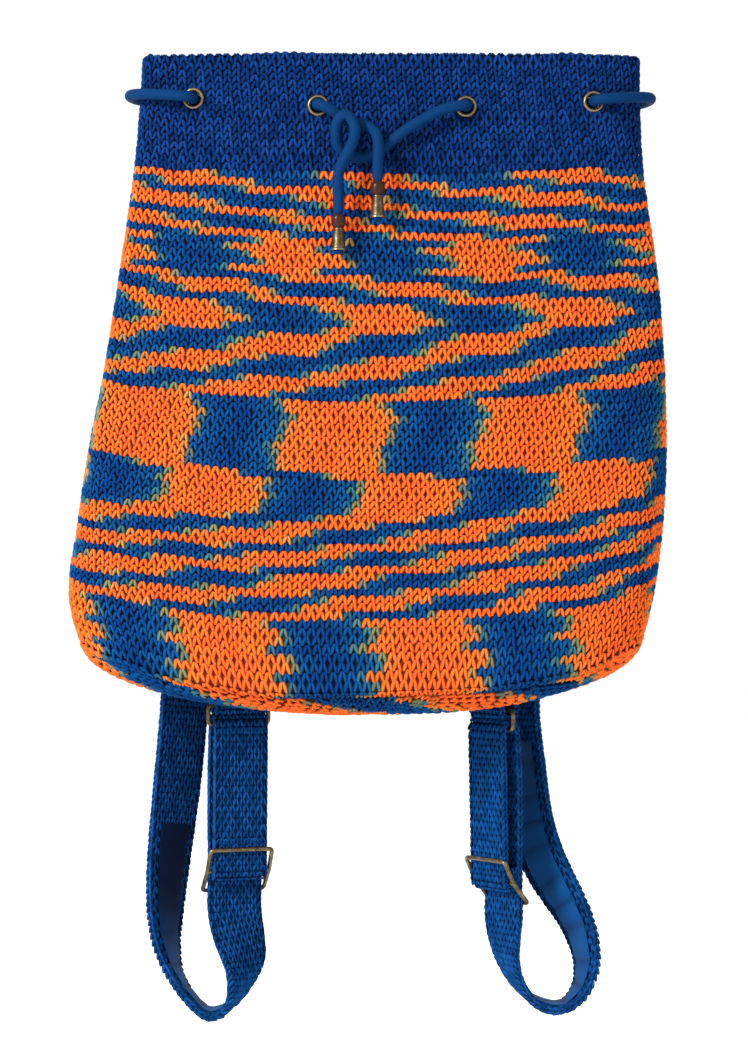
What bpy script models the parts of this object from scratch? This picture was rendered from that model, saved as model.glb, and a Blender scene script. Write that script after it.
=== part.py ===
"""Crochet drawstring backpack, hanging by its rim, in metres with +Z up.

The origin is the middle of the mouth, at the height of the rim. The front of
the bag faces -Y. The bag is a flattened crochet bucket with a fabric lining,
a round drawstring through eight eyelets, and two crochet shoulder straps that
hang below it, each with a wire slider and a wire ring.
"""

import math

import bmesh
import bpy
import numpy as np
from mathutils import Matrix, Vector

TOUCH = 0.0003

# The crochet bag: how far it hangs, its wall, and its rows.
BAG_HEIGHT = 0.440
BASE_DEPTH = 0.050
WALL_DROP = BAG_HEIGHT - BASE_DEPTH
WALL = 0.006
ROW_HEIGHT = 0.0150
ROW_SWELL = 0.0012
BASE_ROWS = 4
COLUMNS = 32
ROUNDNESS = 0.70
FRONT_SAG = 0.033

# Silhouette of the hanging bag: drop below the rim on a wall 0.390 long, left edge, right edge.
SILHOUETTE = (
    (0.000, -0.159, 0.174),
    (0.070, -0.164, 0.176),
    (0.135, -0.173, 0.184),
    (0.205, -0.184, 0.190),
    (0.270, -0.196, 0.192),
    (0.325, -0.204, 0.189),
    (0.365, -0.207, 0.183),
    (0.390, -0.200, 0.176),
)
# Half of the bag's depth, front to back, at the same drops.
HALF_DEPTH = (
    (0.0, 0.0235),
    (0.07, 0.0245),
    (0.14, 0.0290),
    (0.24, 0.038),
    (0.33, 0.046),
    (0.39, 0.049),
)

LINING = 0.0010
LINING_GAP = 0.0007
INNER_RINGS = 6
INNER_TURNS = (0, 24, 48, 68, 82)

# Eyelets of the drawstring, as places across the front of the collar.
EYELET_SPOTS = {
    "far_left": (-0.1247, -0.0287),
    "mid_left": (-0.0413, -0.0340),
    "mid_right": (0.0573, -0.0347),
    "far_right": (0.1427, -0.0307),
}
EYELET_HOLE = 0.0050
EYELET_BARREL_WALL = 0.0006
EYELET_FLANGE = 0.0073
EYELET_FLANGE_THICK = 0.0012
EYELET_LIP = 0.0007
EYELET_SEAT = 0.0006
WASHER_RADIUS = 0.0078
WASHER_THICK = 0.0007
WASHER_GAP = 0.0006
ROUND_STEPS = 12

CORD_RADIUS = 0.0037
CORD_SQUEEZED = 0.62
CORD_LONGEST_STEP = 0.014
# How far before and behind the crochet's face the cord passes through an eyelet.
THROUGH_STEPS = (0.0075, 0.002, -0.0055, -0.0125)

# Ends of the drawstring: X of each tail, its distance before the front, and where its bead starts.
TAILS = {"left": (-0.0275, -0.0400, -0.1080), "right": (-0.0015, -0.0395, -0.0863)}
BEAD_RADIUS = 0.0049
BEAD_HEIGHT = 0.0090
BEAD_EDGE = 0.0012
BELL_HEIGHT = 0.0146
BELL_NECK = 0.0036
BELL_MOUTH = 0.0052
BELL_WALL = 0.0007
CORD_END_BELOW_BELL = 0.0025

# The shoulder straps and their wire hardware.
STRAP_WIDTH = 0.038
STRAP_THICK = 0.0040
STRAP_ROW = 0.0085
STRAP_SWELL = 0.0004
STRAP_FOLD_ROW = 0.0036
STRAP_HANG = 0.0030
SEAM_GAP = 0.0006
STRAP_LINING_WIDTH = 0.024
STRAP_LINING_THICK = 0.0008
STRAP_LINING_GAP = 0.0012
WIRE_RADIUS = 0.0014
RING_INSIDE = 0.0400
RING_DROP = 0.0130
SLIDER_INSIDE = 0.0410
SLIDER_UP = 0.0150
SLIDER_DOWN = 0.0140
RING_PLAY = 0.0018
TAB_WIDTH = 0.036
RETURN_START_BELOW_RING = 0.0045
END_ABOVE_SLIDER = 0.0205
SLIDER_TRAVEL = 0.050
HEM_ABOVE_SLIDER = 0.008
LINING_STOPS_BELOW = 0.048
BEHIND_SLIDER = (-0.027, -0.010, 0.020)
STRAIGHT_ABOVE_TRAVEL = 0.014
RING_BEND = 0.0035
SLIDER_BEND = 0.0030
TAB_RISE = 0.018
BEND_POINTS = 9

# Where each strap's ring and slider hang: X, Y, heading of the width, and how far below the base's lowest
# point the ring's bar and the slider's bar are.
HARDWARE = {
    "left": (-0.0965, 0.030, 20.0, 0.0090, 0.1090),
    "right": (0.0777, 0.030, -55.0, 0.0120, 0.1160),
}
# Each strap's way from its seam at the back to just below the slider: X, Y, place, heading of the width.
# Without Y it lies on the back wall and the place is Z; with Y the place is how far below the base it is.
STRAP_WAY = {
    "left": (
        (-0.050, None, -0.082, 0),
        (-0.060, None, -0.150, 0),
        (-0.084, None, -0.250, 0),
        (-0.112, None, -0.340, 4),
        (-0.1290, 0.0590, -0.0400, 16),
        (-0.1340, 0.0600, -0.0080, 32),
        (-0.1385, 0.0580, 0.0390, 37),
        (-0.1445, 0.0540, 0.0950, 44),
        (-0.1475, 0.0510, 0.1350, 56),
        (-0.1460, 0.0480, 0.1640, 72),
        (-0.1385, 0.0460, 0.1860, 86),
        (-0.1285, 0.0450, 0.2000, 90),
        (-0.1160, 0.0440, 0.2085, 90),
        (-0.1045, 0.0430, 0.2045, 84),
        (-0.0965, 0.0420, 0.1920, 72),
        (-0.0925, 0.0400, 0.1740, 50),
        (-0.0960, 0.0385, 0.1550, 30),
    ),
    "right": (
        (0.052, None, -0.082, 0),
        (0.060, None, -0.150, 0),
        (0.076, None, -0.250, -2),
        (0.090, None, -0.340, -10),
        (0.0960, 0.0670, -0.0400, -36),
        (0.0985, 0.0690, -0.0080, -58),
        (0.1010, 0.0660, 0.0350, -54),
        (0.1040, 0.0600, 0.0750, -42),
        (0.1130, 0.0540, 0.1050, -40),
        (0.1270, 0.0480, 0.1300, -48),
        (0.1390, 0.0440, 0.1560, -62),
        (0.1415, 0.0420, 0.1780, -74),
        (0.1360, 0.0410, 0.1940, -83),
        (0.1250, 0.0400, 0.2030, -90),
        (0.1130, 0.0390, 0.2025, -90),
        (0.1005, 0.0380, 0.1950, -84),
        (0.0905, 0.0370, 0.1800, -76),
        (0.0855, 0.0355, 0.1620, -66),
    ),
}
LINING_STARTS = {"left": 0.065, "right": 0.015}

COLOURS = {
    "crochet": ((0.02, 0.10, 0.36), 0.90, 0.0),
    "fabric": ((0.03, 0.12, 0.38), 0.85, 0.0),
    "antique_brass": ((0.42, 0.33, 0.20), 0.35, 1.0),
    "cord": ((0.01, 0.13, 0.42), 0.60, 0.0),
    "wood": ((0.22, 0.07, 0.04), 0.35, 0.0),
}


def clear_scene():
    """Removes every object of the open file."""
    for obj in list(bpy.data.objects):
        bpy.data.objects.remove(obj, do_unlink=True)


def new_collection(name, helper):
    """A collection for the object's parts, or one for helpers that are left out of renders."""
    collection = bpy.data.collections.new(name)
    bpy.context.scene.collection.children.link(collection)
    collection.hide_render = helper
    return collection


def material(name):
    """The Principled material of this name, made once."""
    found = bpy.data.materials.get(name)
    if found:
        return found
    colour, rough, metal = COLOURS[name]
    made = bpy.data.materials.new(name)
    made.use_nodes = True
    shader = made.node_tree.nodes["Principled BSDF"]
    shader.inputs["Base Color"].default_value = (*colour, 1.0)
    shader.inputs["Roughness"].default_value = rough
    shader.inputs["Metallic"].default_value = metal
    return made


def add_object(name, data, collection, material_name, place=(0, 0, 0), turn=0.0):
    """Links a mesh or curve as a named part."""
    obj = bpy.data.objects.new(name, data)
    obj.location = place
    obj.rotation_euler = (0, 0, turn)
    data.materials.clear()
    data.materials.append(material(material_name))
    collection.objects.link(obj)
    return obj


def natural_spline(knots, values, at):
    """Values of the natural cubic spline through the points (knots, values)."""
    knots = np.asarray(knots, float)
    values = np.asarray(values, float).reshape(len(knots), -1)
    at = np.asarray(at, float)
    step = np.diff(knots)
    system = np.eye(len(knots))
    right = np.zeros_like(values)
    slopes = np.diff(values, axis=0) / step[:, None]
    for i in range(1, len(knots) - 1):
        system[i, i - 1 : i + 2] = step[i - 1], 2 * (step[i - 1] + step[i]), step[i]
        right[i] = 6 * (slopes[i] - slopes[i - 1])
    bend = np.linalg.solve(system, right)
    i = np.clip(np.searchsorted(knots, at, side="right") - 1, 0, len(knots) - 2)
    span = step[i][:, None]
    past = (at - knots[i])[:, None]
    left = span - past
    cubic = (bend[i] * left**3 + bend[i + 1] * past**3) / (6 * span)
    linear = (values[i] / span - bend[i] * span / 6) * left
    linear += (values[i + 1] / span - bend[i + 1] * span / 6) * past
    return cubic + linear


def run_lengths(points):
    """Distance along a row of points, from the first."""
    steps = np.linalg.norm(np.diff(np.asarray(points, float), axis=0), axis=1)
    return np.concatenate([[0.0], np.cumsum(steps)])


def loft(sections, closed_ends=True):
    """A mesh through rings of equal point count, each ring running the same way round."""
    mesh = bmesh.new()
    rings = [[mesh.verts.new(point) for point in ring] for ring in sections]
    count = len(rings[0])
    for ring, following in zip(rings, rings[1:]):
        for i in range(count):
            j = (i + 1) % count
            mesh.faces.new((ring[i], ring[j], following[j], following[i]))
    if closed_ends:
        mesh.faces.new(reversed(rings[0]))
        mesh.faces.new(rings[-1])
    bmesh.ops.recalc_face_normals(mesh, faces=mesh.faces)
    return mesh


def mesh_data(name, mesh, smooth=True):
    """Turns a bmesh into mesh data."""
    data = bpy.data.meshes.new(name)
    mesh.to_mesh(data)
    mesh.free()
    if smooth:
        data.shade_smooth()
        data.set_sharp_from_angle(angle=math.radians(50))
    return data


def edge_sides(drop):
    """Centre and half width of the silhouette at a drop below the rim."""
    drops, left, right = zip(*SILHOUETTE)
    share = min(drop / WALL_DROP, 1.0)
    sides = natural_spline(drops, list(zip(left, right)), [share * drops[-1]])[0]
    return (sides[0] + sides[1]) / 2, (sides[1] - sides[0]) / 2


def half_depth(drop):
    """Half of the bag's depth at a drop below the rim."""
    drops, depths = zip(*HALF_DEPTH)
    share = min(drop / WALL_DROP, 1.0)
    return float(natural_spline(drops, depths, [share * drops[-1]])[0, 0])


def smooth_step(value):
    """Eases from 0 to 1 as the value does."""
    value = min(max(value, 0.0), 1.0)
    return value * value * (3 - 2 * value)


def bag_ring(drop, turned, inset):
    """One round of the bag: on its wall at this drop or, past the wall, turned under the base."""
    centre, width = edge_sides(drop)
    depth = half_depth(drop)
    sag = FRONT_SAG * smooth_step((drop / WALL_DROP - 0.6) / 0.4) * (1 - math.sin(turned))
    below = (BASE_DEPTH - inset) * math.sin(turned)
    width = (width - inset) * math.cos(turned)
    depth = (depth - inset) * math.cos(turned)
    ring = []
    for i in range(COLUMNS):
        angle = 2 * math.pi * (i + 0.5) / COLUMNS
        across, along = math.cos(angle), math.sin(angle)
        x = centre + width * math.copysign(abs(across) ** ROUNDNESS, across)
        y = depth * math.copysign(abs(along) ** ROUNDNESS, along)
        ring.append((x, y, -drop - below - sag * abs(along)))
    return ring


def wall_rings(rings, inset):
    """Smooth rings down the wall and under the base, at an inset from the crochet's face."""
    down = [bag_ring(WALL_DROP * i / rings, 0.0, inset) for i in range(rings)]
    under = [bag_ring(WALL_DROP, math.radians(a), inset) for a in INNER_TURNS]
    return down + under


def crochet_rings(swells=(0.0, ROW_SWELL)):
    """Rings of the bag's outer face, with a low and a high one to each ridge."""
    ridges = round(WALL_DROP / ROW_HEIGHT)
    rings = [bag_ring(WALL_DROP * i / (2 * ridges), 0.0, -swells[i % 2]) for i in range(2 * ridges + 1)]
    for i in range(1, 2 * BASE_ROWS + 1):
        turned = math.radians(INNER_TURNS[-1]) * i / (2 * BASE_ROWS)
        rings.append(bag_ring(WALL_DROP, turned, -swells[i % 2]))
    return rings


def front_surface(x, z, inset=0.0):
    """Distance of the wall's face from the middle plane, and its heading, at X and Z."""
    centre, width = edge_sides(-z)
    depth = half_depth(-z) - inset
    width -= inset
    power = 2 / ROUNDNESS
    share = min(abs(x - centre) / width, 0.98)
    y = depth * (1 - share**power) ** (1 / power)
    slope = depth / width * share ** (power - 1) * (1 - share**power) ** (1 / power - 1)
    return y, math.copysign(math.atan(slope), x - centre)


def cup(outer, inner):
    """A closed cup: outer face, base, inner base, inner face and rim."""
    mesh = bmesh.new()
    rings = [[mesh.verts.new(point) for point in ring] for ring in outer + inner[::-1]]
    count = len(rings[0])
    last_outer = len(outer) - 1
    for k in range(len(rings) - 1):
        if k == last_outer:
            continue
        upper, lower = (rings[k], rings[k + 1]) if k < last_outer else (rings[k + 1], rings[k])
        for i in range(count):
            j = (i + 1) % count
            mesh.faces.new((upper[i], upper[j], lower[j], lower[i]))
    for i in range(count):
        j = (i + 1) % count
        mesh.faces.new((rings[-1][i], rings[-1][j], rings[0][j], rings[0][i]))
    mesh.faces.new(rings[last_outer])
    mesh.faces.new(rings[last_outer + 1][::-1])
    bmesh.ops.triangulate(mesh, faces=mesh.faces, quad_method="FIXED")
    bmesh.ops.recalc_face_normals(mesh, faces=mesh.faces)
    return mesh


def cylinder_cutter(name, radius, depth, place, turn, helpers):
    """A cylinder along the wall's normal, used to cut a hole or a seat."""
    mesh = bmesh.new()
    lay = Matrix.Rotation(math.radians(90), 4, "X")
    bmesh.ops.create_cone(
        mesh, cap_ends=True, segments=ROUND_STEPS, radius1=radius, radius2=radius, depth=depth, matrix=lay
    )
    cutter = add_object(name, mesh_data(name, mesh, smooth=False), helpers, "antique_brass", place, turn)
    cutter.hide_render = True
    cutter.display_type = "WIRE"
    return cutter


def cut(obj, cutter):
    """Takes the cutter away from the object."""
    boolean = obj.modifiers.new("cut_" + cutter.name, "BOOLEAN")
    boolean.operation = "DIFFERENCE"
    boolean.object = cutter


def eyelet_places():
    """Name, place on the crochet's face and heading of each eyelet, front and back."""
    places = []
    for side, facing in (("front", -1), ("back", 1)):
        for spot, (x, z) in EYELET_SPOTS.items():
            y, heading = front_surface(x, z)
            turn = heading if facing < 0 else math.pi - heading
            places.append((f"{side}_{spot}", Vector((x, facing * y, z)), turn))
    return places


def turned_part(name, profile, parts, material_name, place, turn, steps=ROUND_STEPS):
    """A profile of radius and distance, turned about its own -Y axis."""
    sections = []
    for k in range(steps):
        angle = 2 * math.pi * k / steps
        sections.append([(r * math.cos(angle), -out, r * math.sin(angle)) for r, out in profile])
    mesh = bmesh.new()
    rings = [[mesh.verts.new(point) for point in ring] for ring in sections]
    count = len(profile)
    for k in range(steps):
        ring, following = rings[k], rings[(k + 1) % steps]
        for i in range(count):
            j = (i + 1) % count
            mesh.faces.new((ring[i], ring[j], following[j], following[i]))
    bmesh.ops.recalc_face_normals(mesh, faces=mesh.faces)
    return add_object(name, mesh_data(name, mesh), parts, material_name, place, turn)


def washer_face():
    """Distance from the crochet's face to the washer's near face."""
    return WALL + LINING_GAP + LINING + WASHER_GAP


def make_bag(parts, helpers):
    """The crochet bag, its lining, and the eyelets with their washers."""
    inner = wall_rings(INNER_RINGS, WALL)
    bag = add_object("crochet_bag", mesh_data("crochet_bag", cup(crochet_rings(), inner)), parts, "crochet")
    outer_lining = wall_rings(INNER_RINGS, WALL + LINING_GAP)
    inner_lining = wall_rings(INNER_RINGS, WALL + LINING_GAP + LINING)
    lining = add_object("lining", mesh_data("lining", cup(outer_lining, inner_lining)), parts, "fabric")
    barrel = EYELET_HOLE + EYELET_BARREL_WALL
    lip_start = washer_face() + WASHER_THICK + TOUCH
    seat = EYELET_SEAT
    eyelet_profile = (
        (EYELET_HOLE, EYELET_FLANGE_THICK - seat),
        (EYELET_FLANGE - 0.001, EYELET_FLANGE_THICK - seat),
        (EYELET_FLANGE, -seat),
        (barrel, -seat),
        (barrel, -lip_start),
        (barrel + 0.0009, -lip_start),
        (EYELET_HOLE, -lip_start - EYELET_LIP),
    )
    near, far = -washer_face(), -washer_face() - WASHER_THICK
    bore = barrel + TOUCH
    washer_profile = ((bore, near), (WASHER_RADIUS, near), (WASHER_RADIUS, far), (bore, far))
    for name, place, turn in eyelet_places():
        turned_part(f"eyelet_{name}", eyelet_profile, parts, "antique_brass", place, turn)
        turned_part(f"washer_{name}", washer_profile, parts, "antique_brass", place, turn)
        hole = cylinder_cutter(f"hole_{name}", barrel + TOUCH, 4 * WALL, place, turn, helpers)
        cut(bag, hole)
        cut(lining, hole)
        out = Vector((math.sin(turn), -math.cos(turn), 0))
        depth = 4 * ROW_SWELL
        sunk = place + out * (depth / 2 - seat - TOUCH)
        cut(bag, cylinder_cutter(f"seat_{name}", EYELET_FLANGE + TOUCH, depth, sunk, turn, helpers))


def through(spot, facing, outwards):
    """Route points that take the cord through one eyelet, from outside to inside or back."""
    x, z = EYELET_SPOTS[spot]
    y, heading = front_surface(x, z)
    out = Vector((math.sin(heading), -math.cos(heading), 0))
    place = Vector((x, -y, z))
    if facing > 0:
        out.y, place.y = -out.y, -place.y
    points = [place + out * step for step in THROUGH_STEPS]
    return points if not outwards else points[::-1]


def tail_points(side):
    """A hanging tail from the bead's top to the cord's end, with its squeezed stretch."""
    x, y, bead_top = TAILS[side]
    end = bead_top - BEAD_HEIGHT - TOUCH - BELL_HEIGHT - CORD_END_BELOW_BELL
    heights = (bead_top + 0.010, bead_top + 0.003, bead_top - 0.0005, end + 0.0065, end + 0.0045, end)
    widths = (1.0, 1.0, CORD_SQUEEZED, CORD_SQUEEZED, 0.95, 0.80)
    return [(Vector((x, y, z)), w) for z, w in zip(heights, widths)]


def cord_route():
    """Points of the whole drawstring, from its left tail round the bag to its right tail."""
    left_knot = (
        (-0.0277, -0.0405, -0.0900),
        (-0.0268, -0.0422, -0.0790),
        (-0.0225, -0.0437, -0.0700),
        (-0.0185, -0.0437, -0.0620),
        (-0.0165, -0.0427, -0.0540),
        (-0.0180, -0.0420, -0.0468),
        (-0.0228, -0.0420, -0.0425),
        (-0.0275, -0.0410, -0.0458),
        (-0.0292, -0.0388, -0.0535),
        (-0.0280, -0.0360, -0.0618),
        (-0.0215, -0.0335, -0.0682),
        (-0.0115, -0.0324, -0.0700),
        (-0.0025, -0.0322, -0.0665),
        (0.0060, -0.0324, -0.0600),
        (0.0150, -0.0332, -0.0530),
        (0.0290, -0.0340, -0.0445),
        (0.0450, -0.0344, -0.0372),
    )
    right_knot = (
        (-0.0330, -0.0340, -0.0380),
        (-0.0250, -0.0327, -0.0435),
        (-0.0150, -0.0324, -0.0470),
        (-0.0070, -0.0347, -0.0500),
        (-0.0025, -0.0394, -0.0550),
        (-0.0010, -0.0407, -0.0630),
        (-0.0012, -0.0402, -0.0700),
    )
    route = [Vector(p) for p in left_knot]
    route += through("mid_right", -1, False)
    route += [Vector((0.100, -0.0080, -0.0330))]
    route += through("far_right", -1, True)
    route += [Vector(p) for p in ((0.1620, -0.0245, -0.0290), (0.1790, -0.0130, -0.0275))]
    route += [Vector(p) for p in ((0.1820, 0.0, -0.0270), (0.1790, 0.0130, -0.0275))]
    route += [Vector((0.1620, 0.0245, -0.0290))]
    route += through("far_right", 1, False)
    route += [Vector((0.100, 0.0080, -0.0330))]
    route += through("mid_right", 1, True)
    route += [Vector((0.0300, 0.0320, -0.0370)), Vector((-0.0150, 0.0320, -0.0370))]
    route += through("mid_left", 1, False)
    route += [Vector((-0.0830, 0.0080, -0.0320))]
    route += through("far_left", 1, True)
    route += [Vector(p) for p in ((-0.1450, 0.0255, -0.0270), (-0.1635, 0.0140, -0.0255))]
    route += [Vector(p) for p in ((-0.1680, 0.0, -0.0250), (-0.1635, -0.0140, -0.0255))]
    route += [Vector((-0.1450, -0.0255, -0.0270))]
    route += through("far_left", -1, False)
    route += [Vector((-0.0830, -0.0080, -0.0320))]
    route += through("mid_left", -1, True)
    route += [Vector(p) for p in right_knot]
    return route


def tube(name, points, radius, parts, material_name, cyclic=False, widths=None):
    """A round bar or cord along the points."""
    curve = bpy.data.curves.new(name, "CURVE")
    curve.dimensions = "3D"
    curve.bevel_depth = radius
    curve.bevel_resolution = 2
    curve.use_fill_caps = not cyclic
    spline = curve.splines.new("POLY")
    spline.points.add(len(points) - 1)
    for i, point in enumerate(points):
        spline.points[i].co = (*point, 1.0)
        spline.points[i].radius = widths[i] if widths else 1.0
    spline.use_cyclic_u = cyclic
    return add_object(name, curve, parts, material_name)


def make_drawstring(parts):
    """The round cord, knotted once in front, with a bead and a bell at each end."""
    left, right = tail_points("left"), tail_points("right")
    route = [p for p, _ in reversed(left)] + cord_route() + [p for p, _ in right]
    middle = route[len(left) - 2 : len(route) - len(right) + 2]
    knots = run_lengths(middle)
    halves = (knots[1:] + knots[:-1]) / 2
    at = np.sort(np.concatenate([knots, halves[np.diff(knots) > CORD_LONGEST_STEP]]))
    smooth = [Vector(p) for p in natural_spline(knots, [tuple(p) for p in middle], at)]
    points = [p for p, _ in left[:1:-1]] + smooth + [p for p, _ in right[2:]]
    widths = [w for _, w in left[:1:-1]] + [1.0] * len(smooth) + [w for _, w in right[2:]]
    tube("drawstring", points, CORD_RADIUS, parts, "cord", widths=widths)
    bore = CORD_RADIUS * CORD_SQUEEZED + TOUCH
    for side, (x, y, top) in TAILS.items():
        bead = (
            (bore, 0.0),
            (BEAD_RADIUS - BEAD_EDGE, 0.0),
            (BEAD_RADIUS, -BEAD_EDGE),
            (BEAD_RADIUS, BEAD_EDGE - BEAD_HEIGHT),
            (BEAD_RADIUS - BEAD_EDGE, -BEAD_HEIGHT),
            (bore, -BEAD_HEIGHT),
        )
        hanging_part(f"bead_{side}", bead, parts, "wood", (x, y, top))
        bell = (
            (bore, 0.0),
            (BELL_NECK, 0.0),
            (BELL_NECK + 0.0004, -0.45 * BELL_HEIGHT),
            (BELL_MOUTH, -BELL_HEIGHT),
            (BELL_MOUTH - BELL_WALL, -BELL_HEIGHT),
            (BELL_MOUTH - 2 * BELL_WALL, -0.70 * BELL_HEIGHT),
            (bore, -0.55 * BELL_HEIGHT),
        )
        hanging_part(f"bell_{side}", bell, parts, "antique_brass", (x, y, top - BEAD_HEIGHT - TOUCH))


def hanging_part(name, profile, parts, material_name, place):
    """A turned part whose axis stands upright."""
    made = turned_part(name, profile, parts, material_name, (0, 0, 0), 0.0, steps=16)
    made.data.transform(Matrix.Rotation(math.radians(-90), 4, "X"))
    made.location = place
    return made


def ribbon_section(centre, along, across, width, thick, edge):
    """Six points round a flat strap: two faces and two soft edges."""
    normal = across.cross(along).normalized()
    half, flat = width / 2, width / 2 - edge
    face = thick / 2
    spots = ((half, 0), (flat, face), (-flat, face), (-half, 0), (-flat, -face), (flat, -face))
    return [centre + across * a + normal * b for a, b in spots]


def strap_frames(points, headings, row):
    """Places, directions along and across, and run lengths of a strap, one for each of its rows."""
    knots = run_lengths(points)
    rows = max(2, round(knots[-1] / row))
    at = np.linspace(0, knots[-1], rows + 1)
    path = natural_spline(knots, [tuple(p) for p in points], at)
    ahead = np.gradient(path, at, axis=0)
    frames = []
    for centre, along, turn in zip(path, ahead, natural_spline(knots, headings, at)[:, 0]):
        along = Vector(along).normalized()
        across = Vector((math.cos(math.radians(turn)), math.sin(math.radians(turn)), 0))
        across = (across - along * across.dot(along)).normalized()
        frames.append((Vector(centre), along, across))
    return frames


def ribbon(name, frames, width, thick, swell, offset, parts, material_name):
    """A flat strap through the frames, with a swell at every second row."""
    sections = []
    for i, (centre, along, across) in enumerate(frames):
        shift = across.cross(along).normalized() * offset
        full = thick + (2 * swell if i % 2 else 0)
        sections.append(ribbon_section(centre + shift, along, across, width, full, thick / 3))
    mesh = loft(sections)
    return add_object(name, mesh_data(name, mesh), parts, material_name)


def frame_of(side):
    """The strap's hanging point, its width direction and the direction towards the camera side."""
    x, y, turn, ring_below, slider_below = HARDWARE[side]
    ring_z, slider_z = -BAG_HEIGHT - ring_below, -BAG_HEIGHT - slider_below
    across = Vector((math.cos(math.radians(turn)), math.sin(math.radians(turn)), 0))
    front = Vector((across.y, -across.x, 0))
    return Vector((x, y, 0)), across, front, ring_z, slider_z


def bend(base, front, height, radius, start, end, count):
    """Points round a bar at this height, from one angle to another; 0 is in front and 90 on top."""
    points = []
    for angle in np.linspace(math.radians(start), math.radians(end), count):
        high = Vector((0, 0, height + radius * math.sin(angle)))
        points.append(base + front * radius * math.cos(angle) + high)
    return points


def strap_fits():
    """Distances of the strap's layers from the slider's bar and from the ring's bar."""
    snug = WIRE_RADIUS + TOUCH + STRAP_THICK / 2
    loose = snug + RING_PLAY
    behind = snug + STRAP_THICK / 2 + TOUCH + STRAP_THICK / 2 + STRAP_SWELL
    return snug, loose, behind


def back_way(side):
    """A strap's way from its seam at the back to just below the slider, with its headings."""
    points, headings = [], []
    for x, y, z, heading in STRAP_WAY[side]:
        if y is not None:
            z = -BAG_HEIGHT - z
        else:
            lean = abs(math.sin(math.radians(heading))) * STRAP_WIDTH / 2
            hang = STRAP_HANG if points else 0.0
            face = front_surface(x, z)[0] + ROW_SWELL
            y = face + STRAP_THICK / 2 + STRAP_SWELL + SEAM_GAP + lean + hang
        points.append(Vector((x, y, z)))
        headings.append(heading)
    return points, headings


def make_strap(side, parts):
    """One shoulder strap with its lining, its layer back to the slider, and its end."""
    base, _, front, ring_z, slider_z = frame_of(side)
    turn = HARDWARE[side][2]
    snug, loose, behind = strap_fits()
    way, headings = back_way(side)
    straight = [slider_z + d for d in (*BEHIND_SLIDER, SLIDER_TRAVEL + STRAIGHT_ABOVE_TRAVEL)]
    way += [base - front * behind + Vector((0, 0, z)) for z in straight]
    way += bend(base, front, ring_z, loose, 180, 0, BEND_POINTS)
    way.append(base + front * loose + Vector((0, 0, ring_z - RETURN_START_BELOW_RING + 3 * TOUCH)))
    headings += [turn] * (len(way) - len(headings))
    frames = strap_frames(way, headings, STRAP_ROW)
    ribbon(f"strap_{side}", frames, STRAP_WIDTH, STRAP_THICK, STRAP_SWELL, 0.0, parts, "crochet")
    first = next(i for i, f in enumerate(frames) if f[0].z < -BAG_HEIGHT - LINING_STARTS[side])
    lowest = min(range(len(frames)), key=lambda i: frames[i][0].z)
    last = next(i for i in range(lowest, len(frames)) if frames[i][0].z > slider_z - LINING_STOPS_BELOW)
    gap = STRAP_THICK / 2 + STRAP_SWELL + STRAP_LINING_GAP + STRAP_LINING_THICK / 2
    lined = frames[first:last]
    width, thick = STRAP_LINING_WIDTH, STRAP_LINING_THICK
    ribbon(f"strap_lining_{side}", lined, width, thick, 0.0, -gap, parts, "fabric")
    low = slider_z + END_ABOVE_SLIDER
    high = ring_z - RETURN_START_BELOW_RING
    near, hem = base + front * snug, slider_z + HEM_ABOVE_SLIDER
    returning = [base + front * loose + Vector((0, 0, high)), near + Vector((0, 0, low + TOUCH))]
    frames = strap_frames(returning, [turn, turn], STRAP_ROW)
    ribbon(f"strap_return_{side}", frames, STRAP_WIDTH, STRAP_THICK, STRAP_SWELL, 0.0, parts, "crochet")
    end = [near + Vector((0, 0, low)), near + Vector((0, 0, hem))]
    end += bend(base, front, slider_z, snug, 0, -180, BEND_POINTS)
    end.append(base - front * snug + Vector((0, 0, hem)))
    frames = strap_frames(end, [turn] * len(end), STRAP_FOLD_ROW)
    ribbon(f"strap_end_{side}", frames, STRAP_WIDTH, STRAP_THICK, 0.0, 0.0, parts, "crochet")


def mesh_of(curve_object, helpers):
    """The curve as a closed mesh, with the curve removed."""
    graph = bpy.context.evaluated_depsgraph_get()
    data = bpy.data.meshes.new_from_object(curve_object.evaluated_get(graph))
    mesh = bmesh.new()
    mesh.from_mesh(data)
    bmesh.ops.remove_doubles(mesh, verts=mesh.verts, dist=0.00001)
    mesh.to_mesh(data)
    mesh.free()
    made = bpy.data.objects.new(curve_object.name + "_mesh", data)
    made.matrix_world = curve_object.matrix_world
    helpers.objects.link(made)
    bpy.data.objects.remove(curve_object, do_unlink=True)
    return made


def wire_loop(corners, bow):
    """Points round a wire rectangle whose corners are rounded."""
    points = []
    for i, corner in enumerate(corners):
        before = (corners[i - 1] - corner).normalized()
        after = (corners[(i + 1) % len(corners)] - corner).normalized()
        straight = before.dot(after) < -0.85
        if straight:
            points.append(corner)
            continue
        for share in (0.0, 0.35, 0.65, 1.0):
            ease = (1 - share) ** 2 * before + share**2 * after
            points.append(corner + ease * bow)
    return points


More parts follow.
